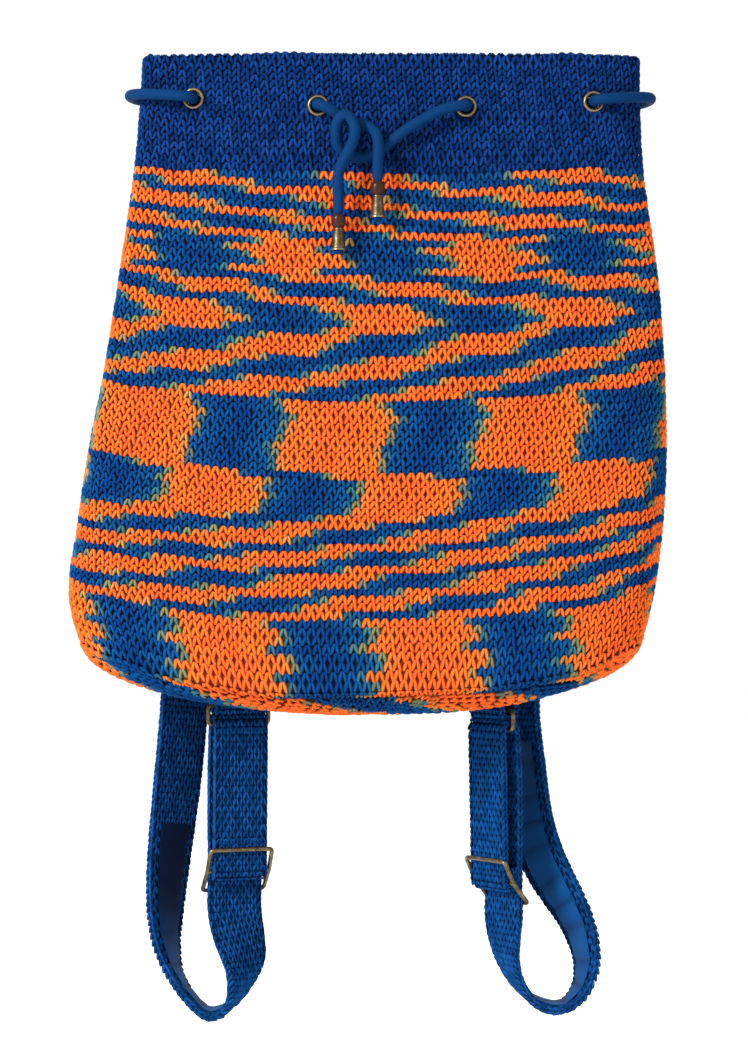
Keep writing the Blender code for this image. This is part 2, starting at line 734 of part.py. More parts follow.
def make_wires(side, parts, helpers):
    """The wire ring at the bag's foot, its tab, and the wire slider with its middle bar."""
    base, across, front, ring_z, slider_z = frame_of(side)
    snug, _, behind = strap_fits()
    up = Vector((0, 0, 1))
    half = RING_INSIDE / 2 + WIRE_RADIUS
    hinge = base + up * (ring_z + RING_DROP)
    corners = [
        hinge + across * half,
        hinge - across * half,
        hinge - across * half - up * RING_DROP,
        hinge + across * half - up * RING_DROP,
    ]
    ring_points = [p - hinge for p in wire_loop(corners, RING_BEND)]
    ring = tube(f"ring_{side}", ring_points, WIRE_RADIUS, parts, "antique_brass", cyclic=True)
    ring.location = hinge
    half = SLIDER_INSIDE / 2 + WIRE_RADIUS
    place = base + up * slider_z
    front_bar = front * (snug + STRAP_THICK / 2 + TOUCH + WIRE_RADIUS) + up * SLIDER_UP
    back = behind + STRAP_THICK / 2 + STRAP_SWELL + TOUCH + WIRE_RADIUS
    back_bar = -front * back - up * SLIDER_DOWN
    corners = [
        front_bar + across * half,
        front_bar - across * half,
        -across * half,
        back_bar - across * half,
        back_bar + across * half,
        across * half,
    ]
    bent = wire_loop(corners, SLIDER_BEND)
    loop = tube(f"slider_loop_{side}", bent, WIRE_RADIUS, helpers, "antique_brass", cyclic=True)
    loop = mesh_of(loop, helpers)
    straight = [-across * half, across * half]
    bar = tube(f"slider_bar_{side}", straight, WIRE_RADIUS, helpers, "antique_brass")
    bar = mesh_of(bar, helpers)
    slider = add_object(f"slider_{side}", loop.data, parts, "antique_brass", place)
    bar.hide_render = True
    bar.display_type = "WIRE"
    bar.location = place
    bpy.data.objects.remove(loop, do_unlink=True)
    union = slider.modifiers.new("middle_bar", "BOOLEAN")
    union.operation = "UNION"
    union.object = bar


def make_tab(side, parts, helpers, hull):
    """The crochet tab that holds the ring, sewn to the bag's base."""
    base, _, front, ring_z, _ = frame_of(side)
    snug = strap_fits()[0]
    hinge_z = ring_z + RING_DROP
    top = hinge_z + TAB_RISE
    points = [base + front * snug + Vector((0, 0, top))]
    points += bend(base, front, hinge_z, snug, 0, -180, BEND_POINTS)
    points.append(base - front * snug + Vector((0, 0, top)))
    frames = strap_frames(points, [HARDWARE[side][2]] * len(points), STRAP_FOLD_ROW)
    tab = ribbon(f"ring_tab_{side}", frames, TAB_WIDTH, STRAP_THICK, 0.0, 0.0, parts, "crochet")
    cut(tab, hull)


def bag_hull(helpers):
    """The bag's outer face with a small clearance, closed at the top, to cut what is sewn to it."""
    mesh = loft(crochet_rings((ROW_SWELL + 2 * TOUCH, ROW_SWELL + 2 * TOUCH)))
    hull = add_object("bag_hull", mesh_data("bag_hull", mesh, smooth=False), helpers, "fabric")
    hull.hide_render = True
    hull.display_type = "WIRE"
    return hull


def main():
    """Builds the backpack."""
    clear_scene()
    parts = new_collection("crochet_backpack", False)
    helpers = new_collection("cutters", True)
    make_bag(parts, helpers)
    make_drawstring(parts)
    hull = bag_hull(helpers)
    for side in HARDWARE:
        make_strap(side, parts)
        make_wires(side, parts, helpers)
        make_tab(side, parts, helpers, hull)


main()
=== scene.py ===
# %% [markdown]
# A crochet drawstring backpack hangs by its rim, with its two shoulder straps below it. The packed
# CAD part is the fixed frame: it gives the places, the sizes and what moves. Every piece below is
# made at its final place in metres, and rides on one of the frame's bodies.

# %% Load the frame
import math

import bmesh
import bpy
import numpy as np
from mathutils import Matrix, Vector
from mathutils.bvhtree import BVHTree


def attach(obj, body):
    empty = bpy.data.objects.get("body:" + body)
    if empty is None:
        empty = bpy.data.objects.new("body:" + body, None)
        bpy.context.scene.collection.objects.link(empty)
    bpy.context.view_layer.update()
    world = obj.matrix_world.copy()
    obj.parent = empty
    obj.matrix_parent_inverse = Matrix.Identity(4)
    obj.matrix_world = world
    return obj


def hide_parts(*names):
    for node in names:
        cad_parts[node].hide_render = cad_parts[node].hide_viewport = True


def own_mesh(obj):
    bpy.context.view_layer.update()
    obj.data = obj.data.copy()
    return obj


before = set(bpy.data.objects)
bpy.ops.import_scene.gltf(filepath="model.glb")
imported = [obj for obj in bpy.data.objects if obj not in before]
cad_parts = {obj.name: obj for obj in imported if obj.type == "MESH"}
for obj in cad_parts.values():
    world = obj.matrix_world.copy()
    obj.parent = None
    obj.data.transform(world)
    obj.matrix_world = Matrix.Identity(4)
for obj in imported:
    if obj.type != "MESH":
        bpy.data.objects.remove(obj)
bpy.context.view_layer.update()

# %% [markdown]
# The photograph was taken level with the middle of the bag, from a little over two metres, with a
# long lens. A long lens keeps the collar and the strap loops at one scale, as they are there. The
# frame is 0.7047 m tall where the bag hangs.

# %% The camera
SENSOR = 0.036
CAMERA_DISTANCE = 2.2
FRAME_TALL = 0.7047
BAG_PLANE = -0.020
FRAME_MIDDLE = (-0.0040, -0.3157)
camera_data = bpy.data.cameras.new("photo_camera")
camera_data.sensor_width = 1000 * SENSOR
camera_data.lens = 1000 * SENSOR * CAMERA_DISTANCE / FRAME_TALL
camera = bpy.data.objects.new("photo_camera", camera_data)
camera.location = (FRAME_MIDDLE[0], BAG_PLANE - CAMERA_DISTANCE, FRAME_MIDDLE[1])
camera.rotation_euler = (math.radians(90), 0, 0)
bpy.context.scene.collection.objects.link(camera)
bpy.context.scene.camera = camera
print("Lens in mm:", round(camera_data.lens, 1))

# %% [markdown]
# A few helpers are used all through: a natural spline draws smooth lines through a few measured
# points, and a mesh builder turns arrays of points and faces into an object that sits at the
# origin. Its attributes carry what the materials need, such as the yarn's colour at each place.

# %% Helpers for lines and meshes
def natural_spline(knots, values, at):
    """Values of the natural cubic spline through the points (knots, values)."""
    knots = np.asarray(knots, float)
    values = np.asarray(values, float).reshape(len(knots), -1)
    at = np.asarray(at, float)
    step = np.diff(knots)
    system, right = np.eye(len(knots)), np.zeros_like(values)
    slopes = np.diff(values, axis=0) / step[:, None]
    for i in range(1, len(knots) - 1):
        system[i, i - 1 : i + 2] = step[i - 1], 2 * (step[i - 1] + step[i]), step[i]
        right[i] = 6 * (slopes[i] - slopes[i - 1])
    bend = np.linalg.solve(system, right)
    i = np.clip(np.searchsorted(knots, at, side="right") - 1, 0, len(knots) - 2)
    span, past = step[i][:, None], (at - knots[i])[:, None]
    left = span - past
    cubic = (bend[i] * left**3 + bend[i + 1] * past**3) / (6 * span)
    linear = (values[i] / span - bend[i] * span / 6) * left
    return cubic + linear + (values[i + 1] / span - bend[i + 1] * span / 6) * past


def run_lengths(points):
    """Distance along a row of points, from the first."""
    steps = np.linalg.norm(np.diff(np.asarray(points, float), axis=0), axis=1)
    return np.concatenate([[0.0], np.cumsum(steps)])


def unit(vectors):
    """The vectors, each of length 1."""
    vectors = np.asarray(vectors, float)
    return vectors / np.maximum(np.linalg.norm(vectors, axis=-1, keepdims=True), 1e-12)


def smooth_step(value):
    """Eases from 0 to 1 as the value does."""
    value = np.clip(value, 0.0, 1.0)
    return value * value * (3 - 2 * value)


def new_object(name, data):
    """An object at the origin, linked to the scene."""
    obj = bpy.data.objects.new(name, data)
    bpy.context.scene.collection.objects.link(obj)
    return obj


def mesh_of(name, built):
    """A mesh from a finished bmesh, which is freed."""
    data = bpy.data.meshes.new(name)
    built.to_mesh(data)
    built.free()
    return data


def applied(obj):
    """The object's mesh with its modifiers applied."""
    graph = bpy.context.evaluated_depsgraph_get()
    return bpy.data.meshes.new_from_object(obj.evaluated_get(graph), depsgraph=graph)


def mark_points(data, label, values, kind="FLOAT", field="value"):
    """Stores numbers or vectors as an attribute on a mesh's points."""
    values = np.asarray(values, np.float32).ravel()
    data.attributes.new(label, kind, "POINT").data.foreach_set(field, values)


def add_mesh(name, points, faces, look, marks=None, uv=None):
    """A smooth object from points and faces, with marks on its points and a UV map."""
    data = bpy.data.meshes.new(name)
    data.from_pydata([tuple(p) for p in points], [], [tuple(f) for f in faces])
    for label, values in (marks or {}).items():
        mark_points(data, label, values)
    if uv is not None:
        layer = data.uv_layers.new(name="cloth_uv")
        corners = np.zeros(len(data.loops), np.int32)
        data.loops.foreach_get("vertex_index", corners)
        layer.data.foreach_set("uv", np.asarray(uv, np.float32)[corners].ravel())
    data.shade_smooth()
    data.materials.append(look)
    return new_object(name, data)


def round_faces(rounds, count, closed=False):
    """Faces that join each round of points to the next; open ends are capped."""
    faces = []
    for k in range(rounds if closed else rounds - 1):
        for i in range(count):
            j, m = (i + 1) % count, (k + 1) % rounds
            faces.append((k * count + i, k * count + j, m * count + j, m * count + i))
    if not closed:
        faces += [tuple(range(count))[::-1], tuple((rounds - 1) * count + i for i in range(count))]
    return faces


def fix_normals(obj):
    """Turns every face of a closed mesh outwards."""
    mesh = bmesh.new()
    mesh.from_mesh(obj.data)
    bmesh.ops.recalc_face_normals(mesh, faces=mesh.faces)
    mesh.to_mesh(obj.data)
    mesh.free()
    return obj


def dress(obj, body, slot, *nodes):
    """Puts a finished piece on its body and hides the CAD nodes it stands for; the slot is not used."""
    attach(obj, body)
    if nodes:
        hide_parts(*nodes)
    return obj


# %% [markdown]
# Materials are built from a few shared shader groups. Yarn is spun from plies that twist round
# each other, so its surface carries slanting ridges. Cloth for linings is a fine plain weave.
# Antique brass is brown in its hollows and bright where hands and cord rub it. Each group gives
# only a mask or a height, and each material joins it to its own shader.

# %% Shader groups
def feed(tree, socket, value):
    """Links a socket to an input, or sets the input's value."""
    if isinstance(value, bpy.types.NodeSocket):
        tree.links.new(value, socket)
    else:
        socket.default_value = value


def math_node(tree, operation, *values, clamp=False):
    """A math node whose inputs are sockets or numbers; gives its output."""
    node = tree.nodes.new("ShaderNodeMath")
    node.operation, node.use_clamp = operation, clamp
    for socket, value in zip(node.inputs, values):
        feed(tree, socket, value)
    return node.outputs[0]


def scaled(tree, vector, factor):
    """A vector or a colour times a factor."""
    node = tree.nodes.new("ShaderNodeVectorMath")
    node.operation = "SCALE"
    tree.links.new(vector, node.inputs[0])
    tree.links.new(factor, node.inputs["Scale"])
    return node.outputs[0]


def split_up(tree, vector):
    """The X, Y and Z of a vector."""
    node = tree.nodes.new("ShaderNodeSeparateXYZ")
    tree.links.new(vector, node.inputs[0])
    return node.outputs


def noise(tree, vector, scale, detail=2.0):
    """A noise texture's value at a scale; the scale is a socket or a number."""
    node = tree.nodes.new("ShaderNodeTexNoise")
    node.inputs["Detail"].default_value = detail
    feed(tree, node.inputs["Scale"], scale)
    tree.links.new(vector, node.inputs["Vector"])
    return node.outputs["Fac"]


def new_group(name, numbers, outputs):
    """A shader group with a map, number inputs and number outputs; gives it and its sockets."""
    group = bpy.data.node_groups.new(name, "ShaderNodeTree")
    group.interface.new_socket("Map", in_out="INPUT", socket_type="NodeSocketVector")
    for label, value in numbers.items():
        made = group.interface.new_socket(label, in_out="INPUT", socket_type="NodeSocketFloat")
        made.default_value = value
    for label in outputs:
        group.interface.new_socket(label, in_out="OUTPUT", socket_type="NodeSocketFloat")
    given, result = group.nodes.new("NodeGroupInput"), group.nodes.new("NodeGroupOutput")
    return group, *given.outputs[: 1 + len(numbers)], *result.inputs[: len(outputs)]


def yarn_plies():
    """Slanting ridges of twisted yarn over a UV map, and loose fibres."""
    group, place, plies, turns, height, loose = new_group(
        "yarn_plies", {"Plies": 3.0, "Turns": 2.0}, ("Height", "Fibres")
    )
    along, across, _ = split_up(group, place)
    along = math_node(group, "MULTIPLY", along, turns)
    across = math_node(group, "MULTIPLY", across, plies)
    slant = math_node(group, "MULTIPLY", math_node(group, "ADD", along, across), 2 * math.pi)
    ridge = math_node(group, "ABSOLUTE", math_node(group, "SINE", slant))
    fibres = noise(group, place, 40.0, 3.0)
    group.links.new(math_node(group, "ADD", ridge, math_node(group, "MULTIPLY", fibres, 0.5)), height)
    group.links.new(fibres, loose)
    return group


def plain_weave():
    """Fine threads over and under each other on a UV map in metres, and slubs in the cloth."""
    group, place, threads, height, slub = new_group("plain_weave", {"Threads": 1600.0}, ("Height", "Slub"))
    across, along, _ = split_up(group, scaled(group, place, threads))
    warp = math_node(group, "SINE", math_node(group, "MULTIPLY", across, math.pi))
    weft = math_node(group, "SINE", math_node(group, "MULTIPLY", along, math.pi))
    group.links.new(math_node(group, "MULTIPLY", warp, weft), height)
    group.links.new(noise(group, place, 90.0, 3.0), slub)
    return group


def worn_edges():
    """How bright a metal is rubbed, from the mesh's own mark of its edges and a fine noise."""
    group, place, edge, grain, rubbed, spots = new_group(
        "worn_edges", {"Edge": 0.0, "Grain": 900.0}, ("Rubbed", "Spots")
    )
    fine, broad = noise(group, place, grain, 4.0), noise(group, place, 180.0, 2.0)
    uneven = math_node(group, "SUBTRACT", math_node(group, "ADD", fine, broad), 0.95)
    total = math_node(group, "ADD", edge, math_node(group, "MULTIPLY", uneven, 1.6))
    group.links.new(math_node(group, "MULTIPLY", total, 1.0, clamp=True), rubbed)
    group.links.new(fine, spots)
    return group


YARN, WEAVE, WEAR = yarn_plies(), plain_weave(), worn_edges()
print("Shader groups:", [group.name for group in bpy.data.node_groups])

# %% [markdown]
# The yarn is a soft cotton blend. One ball is plain royal blue, for the collar and the straps. The
# other changes colour along its length: a long run of orange, a long run of blue, and a stitch or
# two of yellow-green and teal between them. A ramp over the yarn's own position, kept as an
# attribute on the stitches, gives these colours, so the stripes come from the yarn and not from a
# picture. Each stitch is darker in its hollows, where light hardly gets in.

# %% Yarn materials
YARN_COLOURS = (
    (0.000, (0.40, 0.165, 0.045)),
    (0.020, (0.74, 0.140, 0.022)),
    (0.270, (0.78, 0.106, 0.020)),
    (0.515, (0.75, 0.145, 0.020)),
    (0.540, (0.30, 0.180, 0.060)),
    (0.560, (0.045, 0.115, 0.120)),
    (0.585, (0.003, 0.058, 0.195)),
    (0.760, (0.001, 0.030, 0.140)),
    (0.935, (0.003, 0.062, 0.190)),
    (0.965, (0.030, 0.120, 0.150)),
    (0.985, (0.160, 0.165, 0.075)),
)
ROYAL_BLUE = (0.0006, 0.0195, 0.098)
# The straps' copy of the royal blue yarn is painted lighter than the collar's, for the light that falls on
# the straps.
LIT_STRAP_BLUE = (0.0010, 0.035, 0.135)


def attribute(tree, name, output="Fac"):
    """The value, colour or vector of an attribute on the mesh."""
    node = tree.nodes.new("ShaderNodeAttribute")
    node.attribute_name = name
    return node.outputs[output]


def surface(tree, shader, colour, height, strength, distance):
    """Joins a colour, and a bump from a height, to the shader."""
    tree.links.new(colour, shader.inputs["Base Color"])
    node = tree.nodes.new("ShaderNodeBump")
    node.inputs["Strength"].default_value = strength
    node.inputs["Distance"].default_value = distance
    tree.links.new(height, node.inputs["Height"])
    tree.links.new(node.outputs[0], shader.inputs["Normal"])


def new_material(name, roughness, sheen=0.0, specular=0.5):
    """A material with its own Principled shader."""
    made = bpy.data.materials.new(name)
    made.use_nodes = True
    shader = made.node_tree.nodes["Principled BSDF"]
    shader.inputs["Roughness"].default_value = roughness
    shader.inputs["Specular IOR Level"].default_value = specular
    if sheen:
        shader.inputs["Sheen Weight"].default_value = sheen
        shader.inputs["Sheen Roughness"].default_value = 0.45
    return made, made.node_tree, shader


def use_group(tree, group, **values):
    """Places a shader group and sets or links its inputs."""
    node = tree.nodes.new("ShaderNodeGroup")
    node.node_tree = group
    for label, value in values.items():
        feed(tree, node.inputs[label], value)
    return node


def mixed(tree, share, first, second):
    """A colour between two; each is a socket or a colour."""
    node = tree.nodes.new("ShaderNodeMix")
    node.data_type = "RGBA"
    for label, value in (("Factor", share), ("A", first), ("B", second)):
        socket = next(s for s in node.inputs if s.name == label and s.enabled)
        feed(tree, socket, (*value, 1.0) if isinstance(value, tuple) else value)
    return next(s for s in node.outputs if s.enabled)


def uv_of(tree):
    """The piece's own UV map."""
    node = tree.nodes.new("ShaderNodeUVMap")
    node.uv_map = "cloth_uv"
    return node.outputs[0]


def yarn_material(name, plain=None, hollow_shade=0.34):
    """Crochet yarn: plain, or changing colour along its length; painted shade darkens its hollows."""
    made, tree, shader = new_material(name, 0.80, sheen=0.004, specular=0.03)
    if plain is None:
        place = math_node(tree, "FRACT", attribute(tree, "yarn_place"))
        ramp = tree.nodes.new("ShaderNodeValToRGB")
        stops = ramp.color_ramp.elements
        for stop, (position, colour) in zip(stops, (YARN_COLOURS[0], YARN_COLOURS[-1])):
            stop.position, stop.color = position, (*colour, 1.0)
        for position, colour in YARN_COLOURS[1:-1]:
            stops.new(position).color = (*colour, 1.0)
        tree.links.new(place, ramp.inputs[0])
        colour = ramp.outputs[0]
    else:
        paler = tuple(min(1.0, c * 1.45 + 0.003) for c in plain)
        colour = mixed(tree, attribute(tree, "shade"), plain, paler)
    spun = use_group(tree, YARN, Map=uv_of(tree), Plies=2.0, Turns=3.0)
    # Painted shade: the colour is darkest where the ridge mark is low, in each stitch's hollows.
    hollow = math_node(tree, "MULTIPLY_ADD", attribute(tree, "ridge"), 1.0 - hollow_shade, hollow_shade)
    tone = math_node(tree, "MULTIPLY_ADD", attribute(tree, "shade"), 0.26, 0.87)
    fuzz = math_node(tree, "MULTIPLY_ADD", spun.outputs["Fibres"], 0.5, 0.75)
    factor = math_node(tree, "MULTIPLY", math_node(tree, "MULTIPLY", hollow, tone), fuzz)
    surface(tree, shader, scaled(tree, colour, factor), spun.outputs["Height"], 0.35, 0.0003)
    return made


variegated = yarn_material("variegated_yarn")
royal = yarn_material("royal_blue_yarn", ROYAL_BLUE, 0.48)
strap_yarn = yarn_material("strap_yarn", LIT_STRAP_BLUE, 0.42)
print("Yarn materials:", variegated.name, royal.name, strap_yarn.name)

# %% [markdown]
# The drawstring is a round knitted cord with a smooth, slightly shiny face. It is brighter than
# the yarn. Fine columns of knit stitches run along it, which a bump over the cord's own UV map
# gives.

# %% Cord, cloth, wood and brass materials
def cord_material():
    """Smooth knitted cord: fine slanting stitches in columns along it."""
    made, tree, shader = new_material("knitted_cord", 0.65, specular=0.04)
    spun = use_group(tree, YARN, Map=uv_of(tree), Plies=14.0, Turns=700.0)
    slub = math_node(tree, "MULTIPLY_ADD", spun.outputs["Fibres"], 0.5, 0.75)
    # Painted shade: the cord's colour is darker in the grooves between its knit ridges.
    colour = mixed(tree, spun.outputs["Height"], (0.0004, 0.010, 0.050), (0.0008, 0.024, 0.088))
    surface(tree, shader, scaled(tree, colour, slub), spun.outputs["Height"], 0.30, 0.0002)
    return made


def cloth_material(name, colour, paler):
    """Plain-woven lining cloth with a soft gloss."""
    made, tree, shader = new_material(name, 0.70, sheen=0.01, specular=0.05)
    weave = use_group(tree, WEAVE, Map=uv_of(tree), Threads=1500.0)
    base = mixed(tree, attribute(tree, "shade"), colour, paler)
    # Painted shade: the cloth is a little darker where the weave's threads dip.
    deep = math_node(tree, "MULTIPLY_ADD", weave.outputs["Height"], 0.10, 0.92)
    surface(tree, shader, scaled(tree, base, deep), weave.outputs["Height"], 0.25, 0.0002)
    return made


def object_place(tree):
    """Object coordinates, which are metres in the frame."""
    return tree.nodes.new("ShaderNodeTexCoord").outputs["Object"]


def brass_material():
    """Antique brass: brown and dull, rubbed bright along its edges."""
    made, tree, shader = new_material("antique_brass_finish", 0.50)
    shader.inputs["Metallic"].default_value = 0.9
    worn = use_group(tree, WEAR, Map=object_place(tree), Edge=attribute(tree, "worn"))
    rubbed = worn.outputs["Rubbed"]
    colour = mixed(tree, rubbed, (0.055, 0.038, 0.019), (0.21, 0.160, 0.092))
    tree.links.new(math_node(tree, "MULTIPLY_ADD", rubbed, -0.20, 0.48), shader.inputs["Roughness"])
    surface(tree, shader, colour, worn.outputs["Spots"], 0.12, 0.0003)
    return made


def wood_material():
    """Red-brown turned wood under lacquer, with its grain upright."""
    made, tree, shader = new_material("lacquered_wood", 0.30, specular=0.10)
    shader.inputs["Coat Weight"].default_value = 0.05
    shader.inputs["Coat Roughness"].default_value = 0.12
    stretched = tree.nodes.new("ShaderNodeMapping")
    stretched.inputs["Scale"].default_value = (1.0, 1.0, 0.12)
    tree.links.new(object_place(tree), stretched.inputs["Vector"])
    grain = noise(tree, stretched.outputs[0], 900.0, 4.0)
    colour = mixed(tree, grain, (0.014, 0.004, 0.0025), (0.048, 0.014, 0.009))
    surface(tree, shader, colour, grain, 0.10, 0.0002)
    return made


knitted_cord = cord_material()
bag_cloth = cloth_material("bag_lining_cloth_finish", (0.003, 0.024, 0.100), (0.005, 0.045, 0.160))
# The strap lining's dark colour is its cloth in painted shade, its pale one the cloth in painted light; the
# shade mark mixes them.
strap_cloth = cloth_material("strap_lining_cloth_finish", (0.0005, 0.005, 0.024), (0.002, 0.058, 0.205))
antique_brass, lacquered_wood = brass_material(), wood_material()
print("All materials:", [m.name for m in bpy.data.materials])

# %% [markdown]
# The bag is a flattened bucket. Its silhouette and its depth were measured down the bag, and a
# rounded oval joins them at each height. In the middle the rows of crochet hang lower than at the
# sides, where the cloth is held up by its own folds. Below the wall the base turns under.

# %% The bag's surface
WALL_DROP, BAG_HEIGHT, WALL, ROUNDNESS = 0.390, 0.440, 0.006, 0.70
SILHOUETTE = (
    (0.000, -0.159, 0.174), (0.070, -0.164, 0.176), (0.135, -0.173, 0.184), (0.205, -0.184, 0.190),
    (0.270, -0.196, 0.192), (0.325, -0.204, 0.189), (0.365, -0.207, 0.183), (0.390, -0.200, 0.176),
)
HALF_DEPTH = ((0.0, 0.0235), (0.07, 0.0245), (0.14, 0.0290), (0.24, 0.038), (0.33, 0.046), (0.39, 0.049))
ROW_SAG = (
    (0.00, 0.000), (0.05, 0.002), (0.07, 0.005), (0.14, 0.010), (0.20, 0.014), (0.24, 0.016), (0.30, 0.018),
    (0.34, 0.021), (0.37, 0.026), (0.39, 0.033),
)
BASE_TURN = math.radians(82)
LIP_OUT, LIP_BACK, LIP_TURN = 0.0030, 0.0045, math.radians(12)
# Each wave of the slack cloth: its height, its waves round the bag and down it, and its start.
FOLDS = ((0.0016, 5, 13, 0.6), (0.0012, 9, -21, 0.0))
WAVERS = ((0.0009, 6, 8, 0.0), (0.0006, 13, -30, 1.0))


def edge_sides(drop):
    """Centre and half width of the silhouette at a drop below the rim."""
    drops, left, right = zip(*SILHOUETTE)
    sides = natural_spline(drops, list(zip(left, right)), [min(drop, WALL_DROP)])[0]
    return (sides[0] + sides[1]) / 2, (sides[1] - sides[0]) / 2


def table_at(table, drop):
    """A table's smooth value at a drop below the rim."""
    drops, values = zip(*table)
    return float(natural_spline(drops, values, [min(drop, WALL_DROP)])[0, 0])


def waves(table, drop, angles):
    """The sum of a table's waves at a drop below the rim."""
    return sum(high * np.sin(turns * angles + down * drop + start) for high, turns, down, start in table)


def soft_folds(drop, turned, angles):
    """How far the slack cloth stands out of the plain form, and how far its rows waver upwards."""
    front = smooth_step(-3 * np.sin(angles))
    slack = smooth_step((drop - 0.06) / 0.07) * math.cos(turned)
    lip = smooth_step((drop - 0.335) / 0.05)
    under = smooth_step(turned / LIP_TURN)
    lip = lip * LIP_OUT * (1 - under) - LIP_BACK * under * math.cos(turned)
    out = waves(FOLDS, drop, angles) * slack * (0.25 + 0.75 * front) + lip * front
    return out, waves(WAVERS, drop, angles) * math.cos(turned)


def bag_round(drop, turned, inset, angles, slack=False):
    """Points of one round of the bag at these angles; 90 degrees is the middle of the back."""
    centre, width = edge_sides(drop)
    width = (width - inset) * math.cos(turned)
    depth = (table_at(HALF_DEPTH, drop) - inset) * math.cos(turned)
    across, along = np.cos(angles), np.sin(angles)
    x = centre + width * np.sign(across) * np.abs(across) ** ROUNDNESS
    y = depth * np.sign(along) * np.abs(along) ** ROUNDNESS
    sag = table_at(ROW_SAG, drop) * (1 - math.sin(turned)) * along**2
    below = (BAG_HEIGHT - WALL_DROP - inset) * math.sin(turned)
    z = -drop - below - sag
    if slack:
        out, waver = soft_folds(drop, turned, angles)
        x, y, z = x + out * across * np.abs(across) ** 3, y + out * along, z + waver
    return np.stack([x, y, z], axis=1)


def front_surface(x, z, inset=0.0):
    """Distance of the wall's face from the middle plane, and its heading, at X and Z."""
    centre, width = edge_sides(-z)
    depth, power = table_at(HALF_DEPTH, -z) - inset, 2 / ROUNDNESS
    share = min(abs(x - centre) / (width - inset), 0.98)
    y = depth * (1 - share**power) ** (1 / power)
    slope = depth / (width - inset) * share ** (power - 1) * (1 - share**power) ** (1 / power - 1)
    return y, math.copysign(math.atan(slope), x - centre)


print("Bag 0.390 m down the wall, base", round(BAG_HEIGHT - WALL_DROP, 3), "m deep")

# %% [markdown]
# The drawstring runs through eight eyelets, in at the middle pair, out at the sides and round the
# bag, and its two ends meet in one loose overhand knot in front. It is one length of soft cord. A
# curve through its route would do, but a mesh tube carries a map along the cord, so that the knit
# follows every turn. The route's points are those of the CAD part.

# %% The drawstring's route
EYELET_SPOTS = {
    "far_left": (-0.1247, -0.0287), "mid_left": (-0.0413, -0.0340),
    "mid_right": (0.0573, -0.0347), "far_right": (0.1427, -0.0307),
}
CORD_RADIUS, CORD_SQUEEZED = 0.0037, 0.62
TAILS = {"left": (-0.0275, -0.0400, -0.1080), "right": (-0.0015, -0.0395, -0.0863)}
BEAD_HEIGHT, BELL_HEIGHT, TOUCH, CORD_END_BELOW_BELL = 0.0090, 0.0146, 0.0003, 0.0025
LEFT_KNOT = (
    (-0.0277, -0.0405, -0.0900), (-0.0268, -0.0422, -0.0790), (-0.0225, -0.0437, -0.0700),
    (-0.0185, -0.0437, -0.0620), (-0.0165, -0.0427, -0.0540), (-0.0180, -0.0420, -0.0468),
    (-0.0228, -0.0420, -0.0425), (-0.0275, -0.0410, -0.0458), (-0.0292, -0.0388, -0.0535),
    (-0.0280, -0.0360, -0.0618), (-0.0215, -0.0335, -0.0682), (-0.0115, -0.0324, -0.0700),
    (-0.0025, -0.0322, -0.0665), (0.0060, -0.0324, -0.0600), (0.0150, -0.0332, -0.0530),
    (0.0290, -0.0340, -0.0445), (0.0450, -0.0344, -0.0372),
)
RIGHT_KNOT = (
    (-0.0330, -0.0340, -0.0380), (-0.0250, -0.0327, -0.0435), (-0.0150, -0.0324, -0.0470),
    (-0.0070, -0.0347, -0.0500), (-0.0025, -0.0394, -0.0550), (-0.0010, -0.0407, -0.0630),
    (-0.0012, -0.0402, -0.0700),
)


def through(spot, facing, outwards):
    """Route points that take the cord through one eyelet, from outside to inside or back."""
    x, z = EYELET_SPOTS[spot]
    y, heading = front_surface(x, z)
    out = np.array([math.sin(heading), facing * math.cos(heading), 0.0])
    points = [np.array([x, facing * y, z]) + out * step for step in (0.0075, 0.002, -0.0055, -0.0125)]
    return points[::-1] if outwards else points


def tail_points(side):
    """A hanging tail from above its bead to the cord's end, with the cord's width there."""
    x, y, bead_top = TAILS[side]
    end = bead_top - BEAD_HEIGHT - TOUCH - BELL_HEIGHT - CORD_END_BELOW_BELL
    heights = (bead_top + 0.010, bead_top + 0.003, bead_top - 0.0005, end + 0.0065, end + 0.0045, end)
    return [(x, y, z) for z in heights], (1.0, 1.0, CORD_SQUEEZED, CORD_SQUEEZED, 0.95, 0.80)


def round_side(points):
    """Points that lead to one side of the bag, and the same ones back on its other face."""
    return points + [(x, -y, z) for x, y, z in points[-2::-1]]


def drawstring_route():
    """Points of the whole drawstring between its two tails."""
    route = list(LEFT_KNOT) + through("mid_right", -1, False) + [(0.100, -0.0080, -0.0330)]
    route += through("far_right", -1, True)
    route += round_side([(0.1620, -0.0245, -0.0290), (0.1790, -0.0130, -0.0275), (0.1820, 0.0, -0.0270)])
    route += through("far_right", 1, False) + [(0.100, 0.0080, -0.0330)] + through("mid_right", 1, True)
    route += [(0.0300, 0.0320, -0.0370), (-0.0150, 0.0320, -0.0370)]
    route += through("mid_left", 1, False) + [(-0.0830, 0.0080, -0.0320)] + through("far_left", 1, True)
    route += round_side([(-0.1450, 0.0255, -0.0270), (-0.1635, 0.0140, -0.0255), (-0.1680, 0.0, -0.0250)])
    route += through("far_left", -1, False) + [(-0.0830, -0.0080, -0.0320)] + through("mid_left", -1, True)
    return route + list(RIGHT_KNOT)


(left_tail, left_widths), (right_tail, right_widths) = tail_points("left"), tail_points("right")
middle_points = drawstring_route()
cord_knots = np.array(left_tail[::-1] + middle_points + right_tail)
cord_widths = np.array([*left_widths[::-1], *[1.0] * len(middle_points), *right_widths])
print("Drawstring route:", len(cord_knots), "points,", round(run_lengths(cord_knots)[-1], 3), "m")

# %% Tubes with a map along them
def square_to(ahead):
    """A direction at right angles to another."""
    return unit(np.cross(ahead, (0, 0, 1) if abs(ahead[2]) < 0.9 else (0, 1, 0)))


